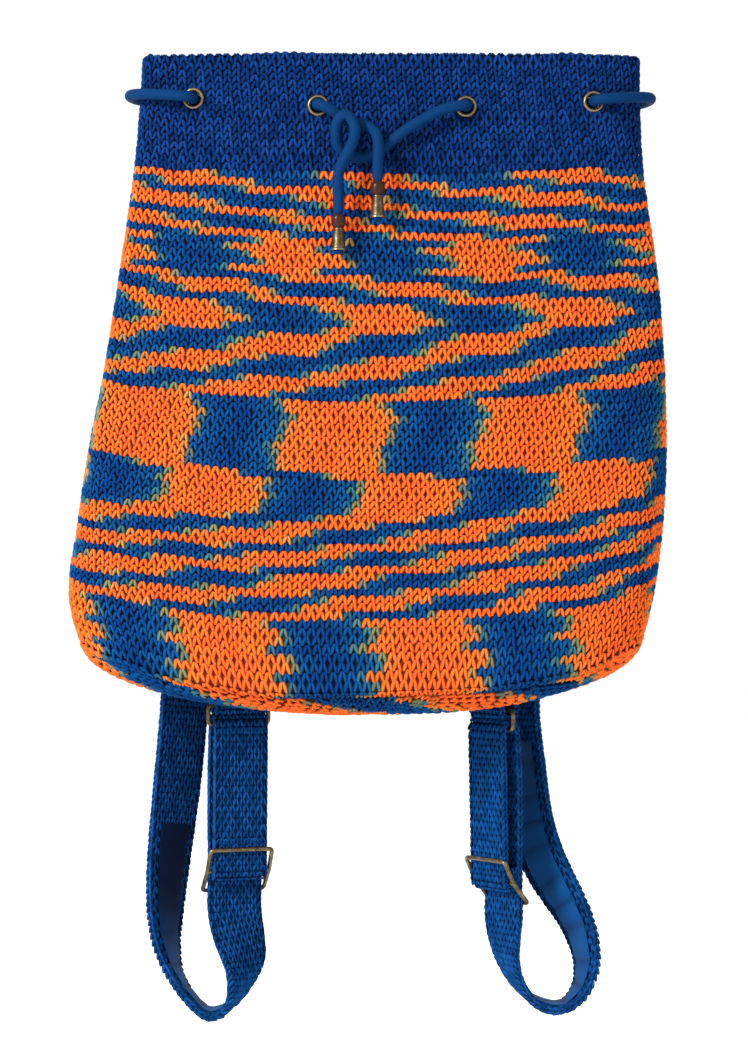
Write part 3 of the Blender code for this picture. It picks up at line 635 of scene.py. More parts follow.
def carried_frames(points, closed=False):
    """Directions across a line at each point, turned as little as possible from one to the next."""
    if closed:
        ahead = unit(np.roll(points, -1, axis=0) - np.roll(points, 1, axis=0))
    else:
        ahead = unit(np.gradient(points, axis=0))
    side = [square_to(ahead[0])]
    for way in ahead[1:]:
        side.append(unit(side[-1] - way * np.dot(side[-1], way)))
    return np.array(side), np.cross(ahead, side)


def tube_parts(points, radii, sides, closed=False):
    """Points, faces and a UV map in metres of a round tube along a line."""
    points = np.asarray(points, float)
    side, other = carried_frames(points, closed)
    turn = np.linspace(0, 2 * math.pi, sides, endpoint=False)
    ring = np.cos(turn)[None, :, None] * side[:, None, :] + np.sin(turn)[None, :, None] * other[:, None, :]
    shell = (points[:, None, :] + ring * np.asarray(radii, float)[:, None, None]).reshape(-1, 3)
    along = np.repeat(run_lengths(points), sides)
    around = np.tile(np.minimum(turn, 2 * math.pi - turn) / math.pi, len(points))
    return shell, round_faces(len(points), sides, closed), np.stack([along, around], axis=1)


# %% The drawstring as one cord
CORD_STEP, CORD_SIDES = 0.0016, 16
runs = run_lengths(cord_knots)
apart = np.concatenate([[True], np.diff(runs) > 1e-6])
at = np.linspace(0, runs[-1], int(runs[-1] / CORD_STEP))
cord_line = natural_spline(runs[apart], cord_knots[apart], at)
cord_radii = CORD_RADIUS * np.interp(at, runs[apart], cord_widths[apart])
shell, faces, cord_map = tube_parts(cord_line, cord_radii, CORD_SIDES)
drawstring = fix_normals(add_mesh("drawstring_cord", shell, faces, knitted_cord, uv=cord_map))

# %% [markdown]
# Each end of the cord carries a turned wooden bead and a small brass bell that hides the cut end.
# Turned parts come from one profile that is swept round an axis. Points on the sharp edges are
# marked as worn, so that the brass shows bright there.

# %% Beads and bells
BEAD_RADIUS, BELL_NECK, BELL_MOUTH, BELL_WALL = 0.0049, 0.0033, 0.0052, 0.0007
TURN_STEPS = 40


def rounded_profile(corners, radius, steps=4):
    """A closed profile with rounded corners, and marks; a corner's third entry marks it as worn."""
    points, worn = [], []
    for i, (r, h, *mark) in enumerate(corners):
        here = np.array([r, h])
        before = np.array(corners[i - 1][:2]) - here
        after = np.array(corners[(i + 1) % len(corners)][:2]) - here
        reach = min(radius, 0.45 * np.linalg.norm(before), 0.45 * np.linalg.norm(after))
        before, after = unit(before) * reach, unit(after) * reach
        for share in np.linspace(0, 1, steps):
            points.append(here + before * (1 - share) ** 2 + after * share**2)
            worn.append(float(len(mark)))
    return points, worn


def turned(name, corners, rounding, look, place=(0, 0, 0)):
    """A closed part turned round an upright axis from (radius, height) corners."""
    profile, worn = rounded_profile(corners, rounding)
    points = []
    for angle in np.linspace(0, 2 * math.pi, TURN_STEPS, endpoint=False):
        out = np.array([-math.cos(angle), -math.sin(angle), 0.0])
        points += [place + out * r + np.array([0.0, 0.0, h]) for r, h in profile]
    faces = round_faces(TURN_STEPS, len(profile), closed=True)
    obj = add_mesh(name, points, faces, look, {"worn": worn * TURN_STEPS})
    obj.data.set_sharp_from_angle(angle=math.radians(55))
    return fix_normals(obj)


bore, edge, barrel = CORD_RADIUS * CORD_SQUEEZED + TOUCH, 0.0016, BEAD_RADIUS
bead_corners = [
    (bore, 0.0), (barrel - edge, 0.0), (barrel - 0.0002, -edge), (barrel, -BEAD_HEIGHT / 2),
    (barrel - 0.0002, edge - BEAD_HEIGHT), (barrel - edge, -BEAD_HEIGHT), (bore, -BEAD_HEIGHT),
]
bell_corners = [
    (bore, 0.0), (BELL_NECK, 0.0, "worn"), (BELL_NECK, -0.06 * BELL_HEIGHT),
    (BELL_NECK + 0.0007, -0.45 * BELL_HEIGHT), (BELL_MOUTH - 0.0005, -0.88 * BELL_HEIGHT),
    (BELL_MOUTH, -0.95 * BELL_HEIGHT, "worn"), (BELL_MOUTH, -BELL_HEIGHT, "worn"),
    (BELL_MOUTH - BELL_WALL, -BELL_HEIGHT, "worn"), (BELL_MOUTH - 2 * BELL_WALL, -0.70 * BELL_HEIGHT),
    (bore, -0.55 * BELL_HEIGHT),
]
pieces_on_cord = []
for side, (x, y, top) in TAILS.items():
    bead = turned(f"wood_bead_{side}", bead_corners, 0.0012, lacquered_wood, (x, y, top))
    place = (x, y, top - BEAD_HEIGHT - TOUCH)
    bell = turned(f"brass_bell_{side}", bell_corners, 0.0005, antique_brass, place)
    dress(bead, "bag", "wood", f"bead_{side}")
    dress(bell, "bag", "antique_brass", f"bell_{side}")
    pieces_on_cord += [bead, bell]

dress(drawstring, "bag", "cord", "drawstring")
print("On the cord:", [o.name for o in pieces_on_cord])

# %% [markdown]
# One single crochet stitch seen from the right side is two fat strokes of yarn that lean together
# at the top, like a roof. Rows of them give the zigzag edges of the coloured stripes. The bag has
# many thousands, so one small closed mesh is made once, and Geometry Nodes places it on every
# point of the rows. It has only 36 triangles: each stroke is a three-sided bean with pointed ends.

# %% One stitch
# The ridge mark sets the yarn's painted shade: 1 along a stroke's top, SIDE_RIDGE on its sides and 0 at its
# tips.
STROKE_HALF_WIDTH, SIDE_RIDGE, TOP_LEANS = 0.275, 0.36, 0.04
# Stations along a stroke: the share of its way, and how full the yarn is there.
STROKE_STATIONS = ((0.15, 0.80), (0.50, 1.0), (0.84, 0.82))
# Strokes of a stitch of unit size: start, end, and the side to which the top leans.
ROOF_STITCH = (((-0.46, -0.72, 0.0), (-0.05, 0.70, 0.22), 1), ((0.46, -0.72, 0.0), (0.05, 0.70, 0.22), -1))


def stitch_mesh(name, strokes, look):
    """A stitch of three-sided strokes as one small object that only Geometry Nodes shows."""
    points, faces, ridge, flat = [], [], [], []
    last = 3 * len(STROKE_STATIONS) + 1
    for start, end, lean in strokes:
        first, start, end = len(points), np.array(start), np.array(end)
        along = unit(end - start)
        across = np.array([along[1], -along[0], 0.0])
        points, ridge, flat = points + [start], ridge + [0.0], flat + [(0.0, 0.5)]
        for share, full in STROKE_STATIONS:
            centre, half = start + (end - start) * share, STROKE_HALF_WIDTH * full
            points += [centre - across * half, centre + across * half]
            points.append(centre + np.array([lean * TOP_LEANS, 0.0, full]))
            ridge += [SIDE_RIDGE, SIDE_RIDGE, 1.0]
            flat += [(share, 0.0), (share, 1.0), (share, 0.5)]
        points, ridge, flat = points + [end], ridge + [0.0], flat + [(1.0, 0.5)]
        for k, m in ((0, 1), (1, 2), (2, 0)):
            sides = [(0, 1 + m, 1 + k), (last, last - 3 + k, last - 3 + m)]
            sides += [(ring + k, ring + m, ring + 3 + m, ring + 3 + k) for ring in (1, 4)]
            faces += [tuple(first + i for i in side) for side in sides]
    obj = fix_normals(add_mesh(name, points, faces, look, {"ridge": ridge}, flat))
    obj.hide_render = True
    bpy.context.scene.collection.objects.unlink(obj)
    return obj


body_stitch = stitch_mesh("body_stitch", ROOF_STITCH, variegated)
print("One stitch has", sum(len(p.vertices) - 2 for p in body_stitch.data.polygons), "triangles")


# %% Geometry Nodes that lay the stitches
STITCH_VECTORS = ("outwards", "upwards", "stitch_size")


def stitch_layer_tree():
    """Places a stitch on each point, facing outwards, at the point's own size."""
    tree = bpy.data.node_groups.new("stitch_layer", "GeometryNodeTree")
    for label, kind in (("Rows", "Geometry"), ("Stitch", "Object"), ("Yarn", "Material")):
        tree.interface.new_socket(label, in_out="INPUT", socket_type="NodeSocket" + kind)
    tree.interface.new_socket("Fabric", in_out="OUTPUT", socket_type="NodeSocketGeometry")
    given, result = tree.nodes.new("NodeGroupInput"), tree.nodes.new("NodeGroupOutput")

    def joined_node(kind, **inputs):
        node = tree.nodes.new(kind)
        for label, socket in inputs.items():
            tree.links.new(socket, node.inputs[label])
        return node

    def vector(name):
        node = tree.nodes.new("GeometryNodeInputNamedAttribute")
        node.data_type = "FLOAT_VECTOR"
        node.inputs["Name"].default_value = name
        return node.outputs["Attribute"]

    turn = tree.nodes.new("FunctionNodeAxesToRotation")
    turn.primary_axis, turn.secondary_axis = "Z", "Y"
    tree.links.new(vector("outwards"), turn.inputs[0])
    tree.links.new(vector("upwards"), turn.inputs[1])
    taken = joined_node("GeometryNodeObjectInfo", Object=given.outputs["Stitch"])
    placed = joined_node(
        "GeometryNodeInstanceOnPoints", Points=given.outputs["Rows"], Instance=taken.outputs["Geometry"],
        Rotation=turn.outputs[0], Scale=vector("stitch_size"),
    )
    real = joined_node("GeometryNodeRealizeInstances", Geometry=placed.outputs[0])
    coloured = joined_node(
        "GeometryNodeSetMaterial", Geometry=real.outputs[0], Material=given.outputs["Yarn"]
    )
    tree.links.new(coloured.outputs[0], result.inputs[0])
    return tree


STITCH_LAYER = stitch_layer_tree()


def knit(name, rows, stitch, yarn):
    """A plain mesh of stitches on these points, which are dicts of arrays."""
    places = bpy.data.meshes.new(name + "_places")
    places.from_pydata([tuple(p) for p in rows["place"]], [], [])
    for label in STITCH_VECTORS:
        mark_points(places, label, rows[label], "FLOAT_VECTOR", "vector")
    for label in ("yarn_place", "shade"):
        mark_points(places, label, rows[label])
    carrier = new_object(name + "_places", places)
    layer = carrier.modifiers.new("stitches", "NODES")
    layer.node_group = STITCH_LAYER
    for item in STITCH_LAYER.interface.items_tree:
        if item.name in ("Stitch", "Yarn"):
            layer[item.identifier] = stitch if item.name == "Stitch" else yarn
    data = applied(carrier)
    bpy.data.objects.remove(carrier, do_unlink=True)
    for label in STITCH_VECTORS:
        if label in data.attributes:
            data.attributes.remove(data.attributes[label])
    data.name = name
    triangles = sum(len(p.vertices) - 2 for p in data.polygons)
    print(name, "has", len(rows["place"]), "stitches and", triangles, "triangles")
    return new_object(name, data)


def only(rows, chosen):
    """The chosen ones of the points."""
    return {label: values[chosen] for label, values in rows.items()}


def joined(groups):
    """Several sets of points as one."""
    return {label: np.concatenate([g[label] for g in groups]) for label in groups[0]}

# %% [markdown]
# The bag is worked in rounds, so its rows of stitches go all the way round and each stitch sits
# between two of the row below. Every row gets as many stitches as fit its length. The colour of a
# stitch comes from how far along the yarn it is. Where a round takes nearly a whole number of
# colour repeats, the colours pool into big patches; elsewhere they shift from row to row and make
# the long thin stripes. A short table says how far the colours have shifted at each height.

# %% Rows of the bag
STITCH_PITCH, ROW_HEIGHT, COLOUR_REPEAT, COLLAR_ROWS = 0.0061, 0.0046, 0.130, 16
STITCH_SUNK, STITCH_BULGE, LEAN_PER_ROW, ROUND_POINTS = 0.0010, 0.0018, 0.09, 721
ROW_REACH, TURN_REACH, BASE_FALL, FALL_PER_ROUND, ROUNDS_PER_ROW = 0.002, 0.01, 0.425, 0.002, 3
COLOUR_SHIFT = (
    (0.070, -0.12), (0.125, 3.217), (0.147, 3.35), (0.177, 4.95), (0.227, 3.02), (0.233, 2.522),
    (0.277, 2.500), (0.283, 2.906), (0.305, 2.94), (0.378, -0.934), (0.430, -0.934), (0.520, -0.30),
)
ORANGE_RUN, ORANGE_SHARES = 0.54, ((0.07, 0.44), (0.20, 0.44), (0.25, 0.53), (0.30, 0.50), (0.42, 0.53))
# Slow waves that let the colours wander from row to row, less so where they pool.
WANDERS = ((0.065, 2.1, 0.0), (0.05, 0.77, 1.0), (0.04, 4.3, 0.0))
POOL, POOL_BELOW, WANDER_IN_POOL, FRONT_REACH = (0.231, 0.305), 0.376, 0.55, 0.27
WALL_ROWS = round(WALL_DROP / ROW_HEIGHT)
chance = np.random.default_rng(11)


def row_shift(fall, row):
    """Colour repeats that a row has shifted by, at its fall in the middle of the front."""
    wander = sum(share * math.sin(pace * row + start) for share, pace, start in WANDERS)
    pooled = POOL[0] < fall < POOL[1] or fall > POOL_BELOW
    return float(np.interp(fall, *zip(*COLOUR_SHIFT))) + wander * (WANDER_IN_POOL if pooled else 1.0)


def base_shift(k):
    """The shift of the base's round k; three fine rounds stand for one row."""
    return row_shift(BASE_FALL + FALL_PER_ROUND * k, WALL_ROWS + k // ROUNDS_PER_ROW)


def with_orange_share(places, fall):
    """Colour places stretched so that orange takes its share of the yarn at this height."""
    share = float(np.interp(fall, *zip(*ORANGE_SHARES)))
    whole = np.floor(places)
    part = places - whole
    orange = part * ORANGE_RUN / share
    blue = ORANGE_RUN + (part - share) * (1 - ORANGE_RUN) / (1 - share)
    return whole + np.where(part < share, orange, blue)


def yarn_places(lengths, middle, shift, next_shift):
    """Colour repeats along one row; at the back they are stretched to meet the next row."""
    total = lengths[-1]
    reach = FRONT_REACH * total
    place = (lengths - middle) / COLOUR_REPEAT
    natural = total / COLOUR_REPEAT
    wanted = shift - next_shift + round(natural - shift + next_shift)
    back = (wanted - 2 * reach / COLOUR_REPEAT) / (natural - 2 * reach / COLOUR_REPEAT)
    beyond = np.maximum(np.abs(lengths - middle) - reach, 0.0)
    return place + np.sign(lengths - middle) * beyond / COLOUR_REPEAT * (back - 1) - shift


def row_of_stitches(row, drop, turned, shifts, sunk=STITCH_SUNK):
    """Points of one row: where each stitch is, how it faces, its size and its yarn's place."""
    angles = math.pi / 2 + np.linspace(0, 2 * math.pi, ROUND_POINTS)
    if turned > 0:
        near = [(WALL_DROP, turned - TURN_REACH), (WALL_DROP, turned + TURN_REACH)]
    else:
        start = max(drop - ROW_REACH, 0.0)
        near = [(start, 0.0), (start + 2 * ROW_REACH, 0.0)]
    line, above, below = (bag_round(*at, sunk, angles, slack=True) for at in ((drop, turned), *near))
    lengths = run_lengths(line)
    count = int(lengths[-1] / STITCH_PITCH)
    at = (np.arange(count) + LEAN_PER_ROW * row + chance.uniform(-0.08, 0.08, count)) / count * lengths[-1]
    at = at % lengths[-1]

    def sample(values):
        return np.stack([np.interp(at, lengths, values[:, k]) for k in range(values.shape[1])], axis=1)

    up = above - below
    outwards = unit(sample(np.cross(unit(np.gradient(line, lengths, axis=0)), unit(up))))
    tall = np.interp(at, lengths, np.linalg.norm(up, axis=1) / (2 * ROW_REACH)) * (WALL_DROP / WALL_ROWS)
    size = np.stack([np.full(count, lengths[-1] / count), tall, np.full(count, STITCH_BULGE)], axis=1)
    size[:, 1:] *= chance.uniform(0.90, 1.10, (count, 1))
    place = np.interp(at, lengths, yarn_places(lengths, lengths[ROUND_POINTS // 2], *shifts))
    place = with_orange_share(place + chance.uniform(-0.012, 0.012, count), drop + table_at(ROW_SAG, drop))
    return {
        "place": sample(line), "outwards": outwards, "upwards": unit(sample(up)), "stitch_size": size,
        "yarn_place": place, "shade": chance.uniform(0.0, 1.0, count),
    }


row_drops = [(r + 0.5) * WALL_DROP / WALL_ROWS for r in range(WALL_ROWS)]
falls = [drop + table_at(ROW_SAG, drop) for drop in row_drops]
shifts = [row_shift(fall, r) for r, fall in enumerate(falls)] + [base_shift(0)]
rows_of_bag = [row_of_stitches(r, drop, 0.0, shifts[r : r + 2]) for r, drop in enumerate(row_drops)]
print("Rows down the wall:", WALL_ROWS, "with", len(rows_of_bag[0]["place"]), "to",
      len(rows_of_bag[-1]["place"]), "stitches")

# %% [markdown]
# The base is much wider than it is deep, so rounds that turn under it lie close together at the
# front and far apart at the corners. As a maker skips stitches there, fine rounds are laid first
# and stitches that would crowd the ones before them are left out.

# %% Stitches of the base and the rim
BASE_FINE_ROUNDS, ROUNDS_LOOKED_AT, LEAST_UP, LEAST_BESIDE = 46, 7, ROW_HEIGHT * 0.92, 0.0038
RIM_SUNK, RIM_STITCH, RIM_Z = 0.0030, 0.0056, -0.0006
FLANGE_CLEAR, FLANGE_NEAR, FLATTENED = 0.0073, 0.0105, 0.55
MIDDLE_FROM, LOWER_FROM = 40, 64


def far_enough(rows, kept):
    """Marks the stitches of a row that keep their distance from the stitches already kept."""
    others, good = np.concatenate(kept), []
    for place, up in zip(rows["place"], rows["upwards"]):
        apart = others - place
        beside = np.linalg.norm(apart - np.outer(apart @ up, up), axis=1)
        good.append(not np.any((np.abs(apart @ up) < LEAST_UP) & (beside < LEAST_BESIDE)))
    return np.array(good)


base_rows, kept_places = [], [rows_of_bag[-1]["place"]]
for k in range(1, BASE_FINE_ROUNDS):
    turned_by = BASE_TURN * 1.04 * k / BASE_FINE_ROUNDS
    later = base_shift(k + ROUNDS_PER_ROW)
    row = row_of_stitches(WALL_ROWS + k // ROUNDS_PER_ROW, WALL_DROP, turned_by, (base_shift(k), later))
    row["stitch_size"][:, 1] = ROW_HEIGHT * chance.uniform(0.98, 1.12, len(row["place"]))
    chosen = far_enough(row, kept_places[-ROUNDS_LOOKED_AT:])
    if chosen.any():
        base_rows.append(only(row, chosen))
        kept_places.append(row["place"][chosen])
print("Stitches in the base:", sum(len(r["place"]) for r in base_rows))

rim_row = row_of_stitches(0, 0.0, 0.0, (0.0, 0.0), RIM_SUNK)
rim_row["upwards"], rim_row["outwards"] = rim_row["outwards"], unit(rim_row["upwards"] * [0, 0, 1.0])
rim_row["stitch_size"][:, 1] = RIM_STITCH
rim_row["place"][:, 2] = RIM_Z


def clear_of_eyelets(rows):
    """Leaves out stitches under the eyelets' flanges, and flattens those beside them."""
    chosen = np.ones(len(rows["place"]), bool)
    for spot in EYELET_SPOTS.values():
        apart = np.linalg.norm(rows["place"][:, [0, 2]] - spot, axis=1)
        chosen &= apart > FLANGE_CLEAR
        rows["stitch_size"][apart < FLANGE_NEAR, 2] *= 1 - FLATTENED
    return only(rows, chosen)


sections = {
    "crochet_collar": clear_of_eyelets(joined(rows_of_bag[:COLLAR_ROWS] + [rim_row])),
    "crochet_body_upper": joined(rows_of_bag[COLLAR_ROWS:MIDDLE_FROM]),
    "crochet_body_middle": joined(rows_of_bag[MIDDLE_FROM:LOWER_FROM]),
    "crochet_body_lower": joined(rows_of_bag[LOWER_FROM:]),
    "crochet_base": joined(base_rows),
}
for name, rows in sections.items():
    yarn = royal if name == "crochet_collar" else variegated
    dress(knit(name, rows, body_stitch, yarn), "bag", "bag_yarn", "crochet_bag")

# %% [markdown]
# Behind the stitches lies the inside of the fabric, where the yarn crosses itself and hardly any
# light comes. One closed cup stands for it. It carries the same colour places as the rows, and the
# eyelets' holes are cut through it.

# %% The fabric behind the stitches
# The backing's ridge mark is below 0, so it is painted darker than any stitch: painted shade behind the
# stitches.
BACKING_COLUMNS, BACKING_SUNK, BASE_ROUNDS, BACKING_RIDGE = 128, 0.0016, 12, -0.18
EYELET_HOLE, BARREL_WALL, PLUG_LENGTH = 0.0050, 0.0006, 0.024


def cup(outer, inner):
    """Points and faces of a closed cup from its outer and inner rounds, both from the rim down."""
    rounds = outer + inner[::-1]
    count, turn = len(rounds[0]), len(outer) - 1
    faces = round_faces(len(rounds), count, closed=True)
    del faces[turn * count : (turn + 1) * count]
    faces.append(tuple(turn * count + i for i in range(count)))
    faces.append(tuple((turn + 1) * count + i for i in range(count))[::-1])
    return np.concatenate(rounds), faces


def hole_cutter(x, z, facing, radius):
    """A plug along the wall's normal at one eyelet."""
    y, heading = front_surface(x, z)
    mesh = bmesh.new()
    bmesh.ops.create_cone(
        mesh, cap_ends=True, segments=40, radius1=radius, radius2=radius, depth=PLUG_LENGTH,
        matrix=Matrix.Rotation(math.radians(90), 4, "X"),
    )
    turn = heading if facing < 0 else math.pi - heading
    mesh.transform(Matrix.Translation((x, facing * y, z)) @ Matrix.Rotation(turn, 4, "Z"))
    return new_object("eyelet_plug", mesh_of("eyelet_plug", mesh))


def pierced(obj, radius):
    """The object with eight eyelet holes cut through it."""
    plugs = [hole_cutter(x, z, facing, radius) for facing in (-1, 1) for x, z in EYELET_SPOTS.values()]
    for plug in plugs:
        cut = obj.modifiers.new("hole", "BOOLEAN")
        cut.operation, cut.object, cut.solver = "DIFFERENCE", plug, "EXACT"
    data = applied(obj)
    obj.modifiers.clear()
    obj.data = data
    for plug in plugs:
        bpy.data.objects.remove(plug, do_unlink=True)
    return obj


angles = math.pi / 2 + 2 * math.pi * (np.arange(BACKING_COLUMNS) + 0.5) / BACKING_COLUMNS
outer_rounds, places = [], []


def backing_round(drop, turned, fall, shift, next_shift):
    """Adds one outer round of the backing and its yarn's colour places."""
    line = bag_round(drop, turned, BACKING_SUNK, angles, slack=True)
    lengths = run_lengths(np.concatenate([line, line[:1]]))
    middle = (lengths[BACKING_COLUMNS // 2 - 1] + lengths[BACKING_COLUMNS // 2]) / 2
    outer_rounds.append(line)
    places.append(with_orange_share(yarn_places(lengths, middle, shift, next_shift)[:-1], fall))


for r, drop in enumerate(row_drops):
    for share in (-0.48, 0.48):
        backing_round(drop + share * WALL_DROP / WALL_ROWS, 0.0, falls[r], shifts[r], shifts[r + 1])
for r in range(1, BASE_ROUNDS + 1):
    shift = base_shift(BASE_FINE_ROUNDS * r // BASE_ROUNDS)
    backing_round(WALL_DROP, BASE_TURN * 1.03 * r / BASE_ROUNDS, falls[-1], shift, shift)
inner_rounds = [bag_round(drop, 0.0, WALL, angles) for drop in np.linspace(0.0, WALL_DROP, 14)]
inner_rounds += [bag_round(WALL_DROP, turned_by, WALL, angles) for turned_by in np.radians([24, 48, 68, 82])]
points, faces = cup(outer_rounds, inner_rounds)
inner_places = np.zeros(len(inner_rounds) * BACKING_COLUMNS)
marks = {
    "yarn_place": np.concatenate([*places, inner_places]),
    "ridge": np.full(len(points), BACKING_RIDGE), "shade": np.full(len(points), 0.3),
}
backing = fix_normals(add_mesh("crochet_backing", points, faces, variegated, marks, points[:, [0, 2]] * 100))
backing = pierced(backing, EYELET_HOLE + BARREL_WALL + TOUCH)
backing.data.materials.append(royal)
collar_drop = row_drops[COLLAR_ROWS] - ROW_HEIGHT / 2
for face in backing.data.polygons:
    centre, width = edge_sides(-face.center.z)
    along_squared = 1 - min(1.0, abs(face.center.x - centre) / width) ** (2 / ROUNDNESS)
    drop = -face.center.z - table_at(ROW_SAG, -face.center.z) * along_squared
    face.material_index = int(drop < collar_drop)
dress(backing, "bag", "bag_yarn", "crochet_bag")
print("Backing:", len(backing.data.polygons), "faces")

# %% [markdown]
# Eight brass eyelets line the cord's holes, each with a flat washer on the lining side. They are
# one turned shape that repeats, so the same Geometry Nodes tree that lays stitches places them.

# %% Eyelets and washers
FLANGE, FLANGE_THICK, EYELET_SEAT, LIP = 0.0073, 0.0012, 0.0006, 0.0007
LINING_GAP, LINING, WASHER_GAP, WASHER_THICK, WASHER_RADIUS = 0.0007, 0.0010, 0.0006, 0.0007, 0.0078
washer_near = WALL + LINING_GAP + LINING + WASHER_GAP
washer_far = washer_near + WASHER_THICK
lip_start, barrel, top = washer_far + TOUCH, EYELET_HOLE + BARREL_WALL, FLANGE_THICK - EYELET_SEAT
eyelet_corners = [
    (EYELET_HOLE, top - 0.0001, "worn"), (EYELET_HOLE + 0.0009, top + 0.0001, "worn"),
    (FLANGE - 0.0008, top, "worn"), (FLANGE, 0.0003 - EYELET_SEAT, "worn"), (FLANGE, -EYELET_SEAT),
    (barrel, -EYELET_SEAT), (barrel, -lip_start), (barrel + 0.0009, -lip_start, "worn"),
    (EYELET_HOLE, -lip_start - LIP, "worn"),
]
washer_corners = [
    (barrel + TOUCH, -washer_near), (WASHER_RADIUS, -washer_near), (WASHER_RADIUS, -washer_far, "worn"),
    (barrel + TOUCH, -washer_far),
]
spots = {label: [] for label in ("place", "outwards")}
for facing in (-1, 1):
    for x, z in EYELET_SPOTS.values():
        y, heading = front_surface(x, z)
        spots["place"].append((x, facing * y, z))
        spots["outwards"].append((math.sin(heading), facing * math.cos(heading), 0.0))
spots |= {"upwards": np.tile([0, 0, 1.0], (8, 1)), "stitch_size": np.ones((8, 3))}
spots |= {"yarn_place": np.zeros(8), "shade": np.zeros(8)}
eyelet_names = [f"{side}_{spot}" for side in ("front", "back") for spot in EYELET_SPOTS]
for kind, corners, rounding in (("eyelet", eyelet_corners, 0.0006), ("washer", washer_corners, 0.0002)):
    shape = turned(f"{kind}_shape", corners, rounding, antique_brass)
    made = knit(f"{kind}s", spots, shape, antique_brass)
    dress(made, "bag", "antique_brass", *[f"{kind}_{name}" for name in eyelet_names])
    bpy.data.objects.remove(shape, do_unlink=True)

# %% [markdown]
# The lining is a separate cup of woven cloth inside the crochet, seen when the bag is looked into.
# The CAD part has it with its holes. A copy of that mesh is merged, made finer and given the small
# slack wrinkles of cloth that is only sewn at the rim.

# %% The bag's lining
WRINKLE, WRINKLED_BELOW, LONGEST_EDGE = 0.00022, -0.055, 0.012
mesh = bmesh.new()
mesh.from_mesh(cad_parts["lining"].data)
bmesh.ops.remove_doubles(mesh, verts=mesh.verts, dist=0.00001)
for _ in range(2):
    long_edges = [e for e in mesh.edges if e.calc_length() > LONGEST_EDGE]
    bmesh.ops.subdivide_edges(mesh, edges=long_edges, cuts=1)
    bmesh.ops.triangulate(mesh, faces=mesh.faces)
mesh.normal_update()
for v in mesh.verts:
    ripple = math.sin(95 * v.co.x + 3 * math.sin(40 * v.co.z)) * math.sin(38 * v.co.z + 2)
    v.co += v.normal * WRINKLE * ripple * (1 if v.co.z < WRINKLED_BELOW else 0)
data = mesh_of("bag_lining_cloth", mesh)
data.shade_smooth()
data.set_sharp_from_angle(angle=math.radians(40))
layer = data.uv_layers.new(name="cloth_uv")
for loop in data.loops:
    place = data.vertices[loop.vertex_index].co
    layer.data[loop.index].uv = (place.x, place.z)
mark_points(data, "shade", 0.5 + 0.5 * np.sin([60 * v.co.x + 25 * v.co.z for v in data.vertices]))
data.materials.clear()
data.materials.append(bag_cloth)
lining = new_object("bag_lining_cloth", data)
dress(lining, "bag", "lining_fabric", "lining")
print("Lining:", len(lining.data.polygons), "faces")

# %% [markdown]
# Each shoulder strap is a crochet band seven stitches wide. It comes down the back of the bag,
# makes a loop, runs up behind the wire slider and over the wire ring, and comes back down to the
# slider. The band's way is one spline through measured places, with the heading of its width at
# each. A thin band carries it, and rows of stitches are laid on both faces and along both edges.

# %% The straps' ways
STRAP_WIDTH, STRAP_THICK, STRAP_SWELL, STRAP_HANG, SEAM_GAP = 0.038, 0.0040, 0.0004, 0.0030, 0.0006
WIRE_RADIUS, RING_INSIDE, RING_DROP, RING_PLAY = 0.0014, 0.0400, 0.0130, 0.0018
SLIDER_INSIDE, SLIDER_UP, SLIDER_DOWN, SLIDER_TRAVEL = 0.0410, 0.0150, 0.0140, 0.050
TAB_WIDTH, RETURN_START, END_ABOVE_SLIDER, HEM_ABOVE_SLIDER = 0.036, 0.0045, 0.0205, 0.008
HARDWARE = {
    "left": (-0.0965, 0.030, 20.0, -0.4490, -0.5490), "right": (0.0777, 0.030, -55.0, -0.4520, -0.5560),
}
STRAP_WAY = {
    "left": (
        (-0.050, None, -0.082, 0), (-0.060, None, -0.150, 0), (-0.084, None, -0.250, 0),
        (-0.112, None, -0.340, 4), (-0.1290, 0.0590, -0.400, 16), (-0.1340, 0.0600, -0.432, 32),
        (-0.1385, 0.0580, -0.479, 37), (-0.1445, 0.0540, -0.535, 44), (-0.1475, 0.0510, -0.575, 56),
        (-0.1460, 0.0480, -0.604, 72), (-0.1385, 0.0460, -0.626, 86), (-0.1285, 0.0450, -0.640, 90),
        (-0.1160, 0.0440, -0.6485, 90), (-0.1045, 0.0430, -0.6445, 84), (-0.0965, 0.0420, -0.632, 72),
        (-0.0925, 0.0400, -0.614, 50), (-0.0960, 0.0385, -0.595, 30),
    ),
    "right": (
        (0.052, None, -0.082, 0), (0.060, None, -0.150, 0), (0.076, None, -0.250, -2),
        (0.090, None, -0.340, -10), (0.0960, 0.0670, -0.400, -36), (0.0985, 0.0690, -0.432, -58),
        (0.1010, 0.0660, -0.475, -54), (0.1040, 0.0600, -0.515, -42), (0.1130, 0.0540, -0.545, -40),
        (0.1270, 0.0480, -0.570, -48), (0.1390, 0.0440, -0.596, -62), (0.1415, 0.0420, -0.618, -74),
        (0.1360, 0.0410, -0.634, -83), (0.1250, 0.0400, -0.643, -90), (0.1130, 0.0390, -0.6425, -90),
        (0.1005, 0.0380, -0.635, -84), (0.0905, 0.0370, -0.620, -76), (0.0855, 0.0355, -0.602, -66),
    ),
}
LINING_STARTS, LINING_STOPS_BELOW = {"left": -0.512, "right": -0.455}, 0.048
# Painted light on the strap linings: their shade at the top, and where and over how much height they grow
# paler, as more light falls on them lower down.
LINING_SHADES, LINING_PALE = {"left": 0.0, "right": 0.35}, 0.9
LINING_LIGHT_RAMPS = {"left": (-0.560, 0.085), "right": (-0.440, 0.11)}
STRAP_LINING_WIDTH, STRAP_LINING_THICK, STRAP_LINING_GAP, LINING_ROW = 0.024, 0.0008, 0.0006, 0.002
UP = np.array([0.0, 0.0, 1.0])
snug = WIRE_RADIUS + TOUCH + STRAP_THICK / 2
loose = snug + RING_PLAY
behind = snug + STRAP_THICK + TOUCH + STRAP_SWELL


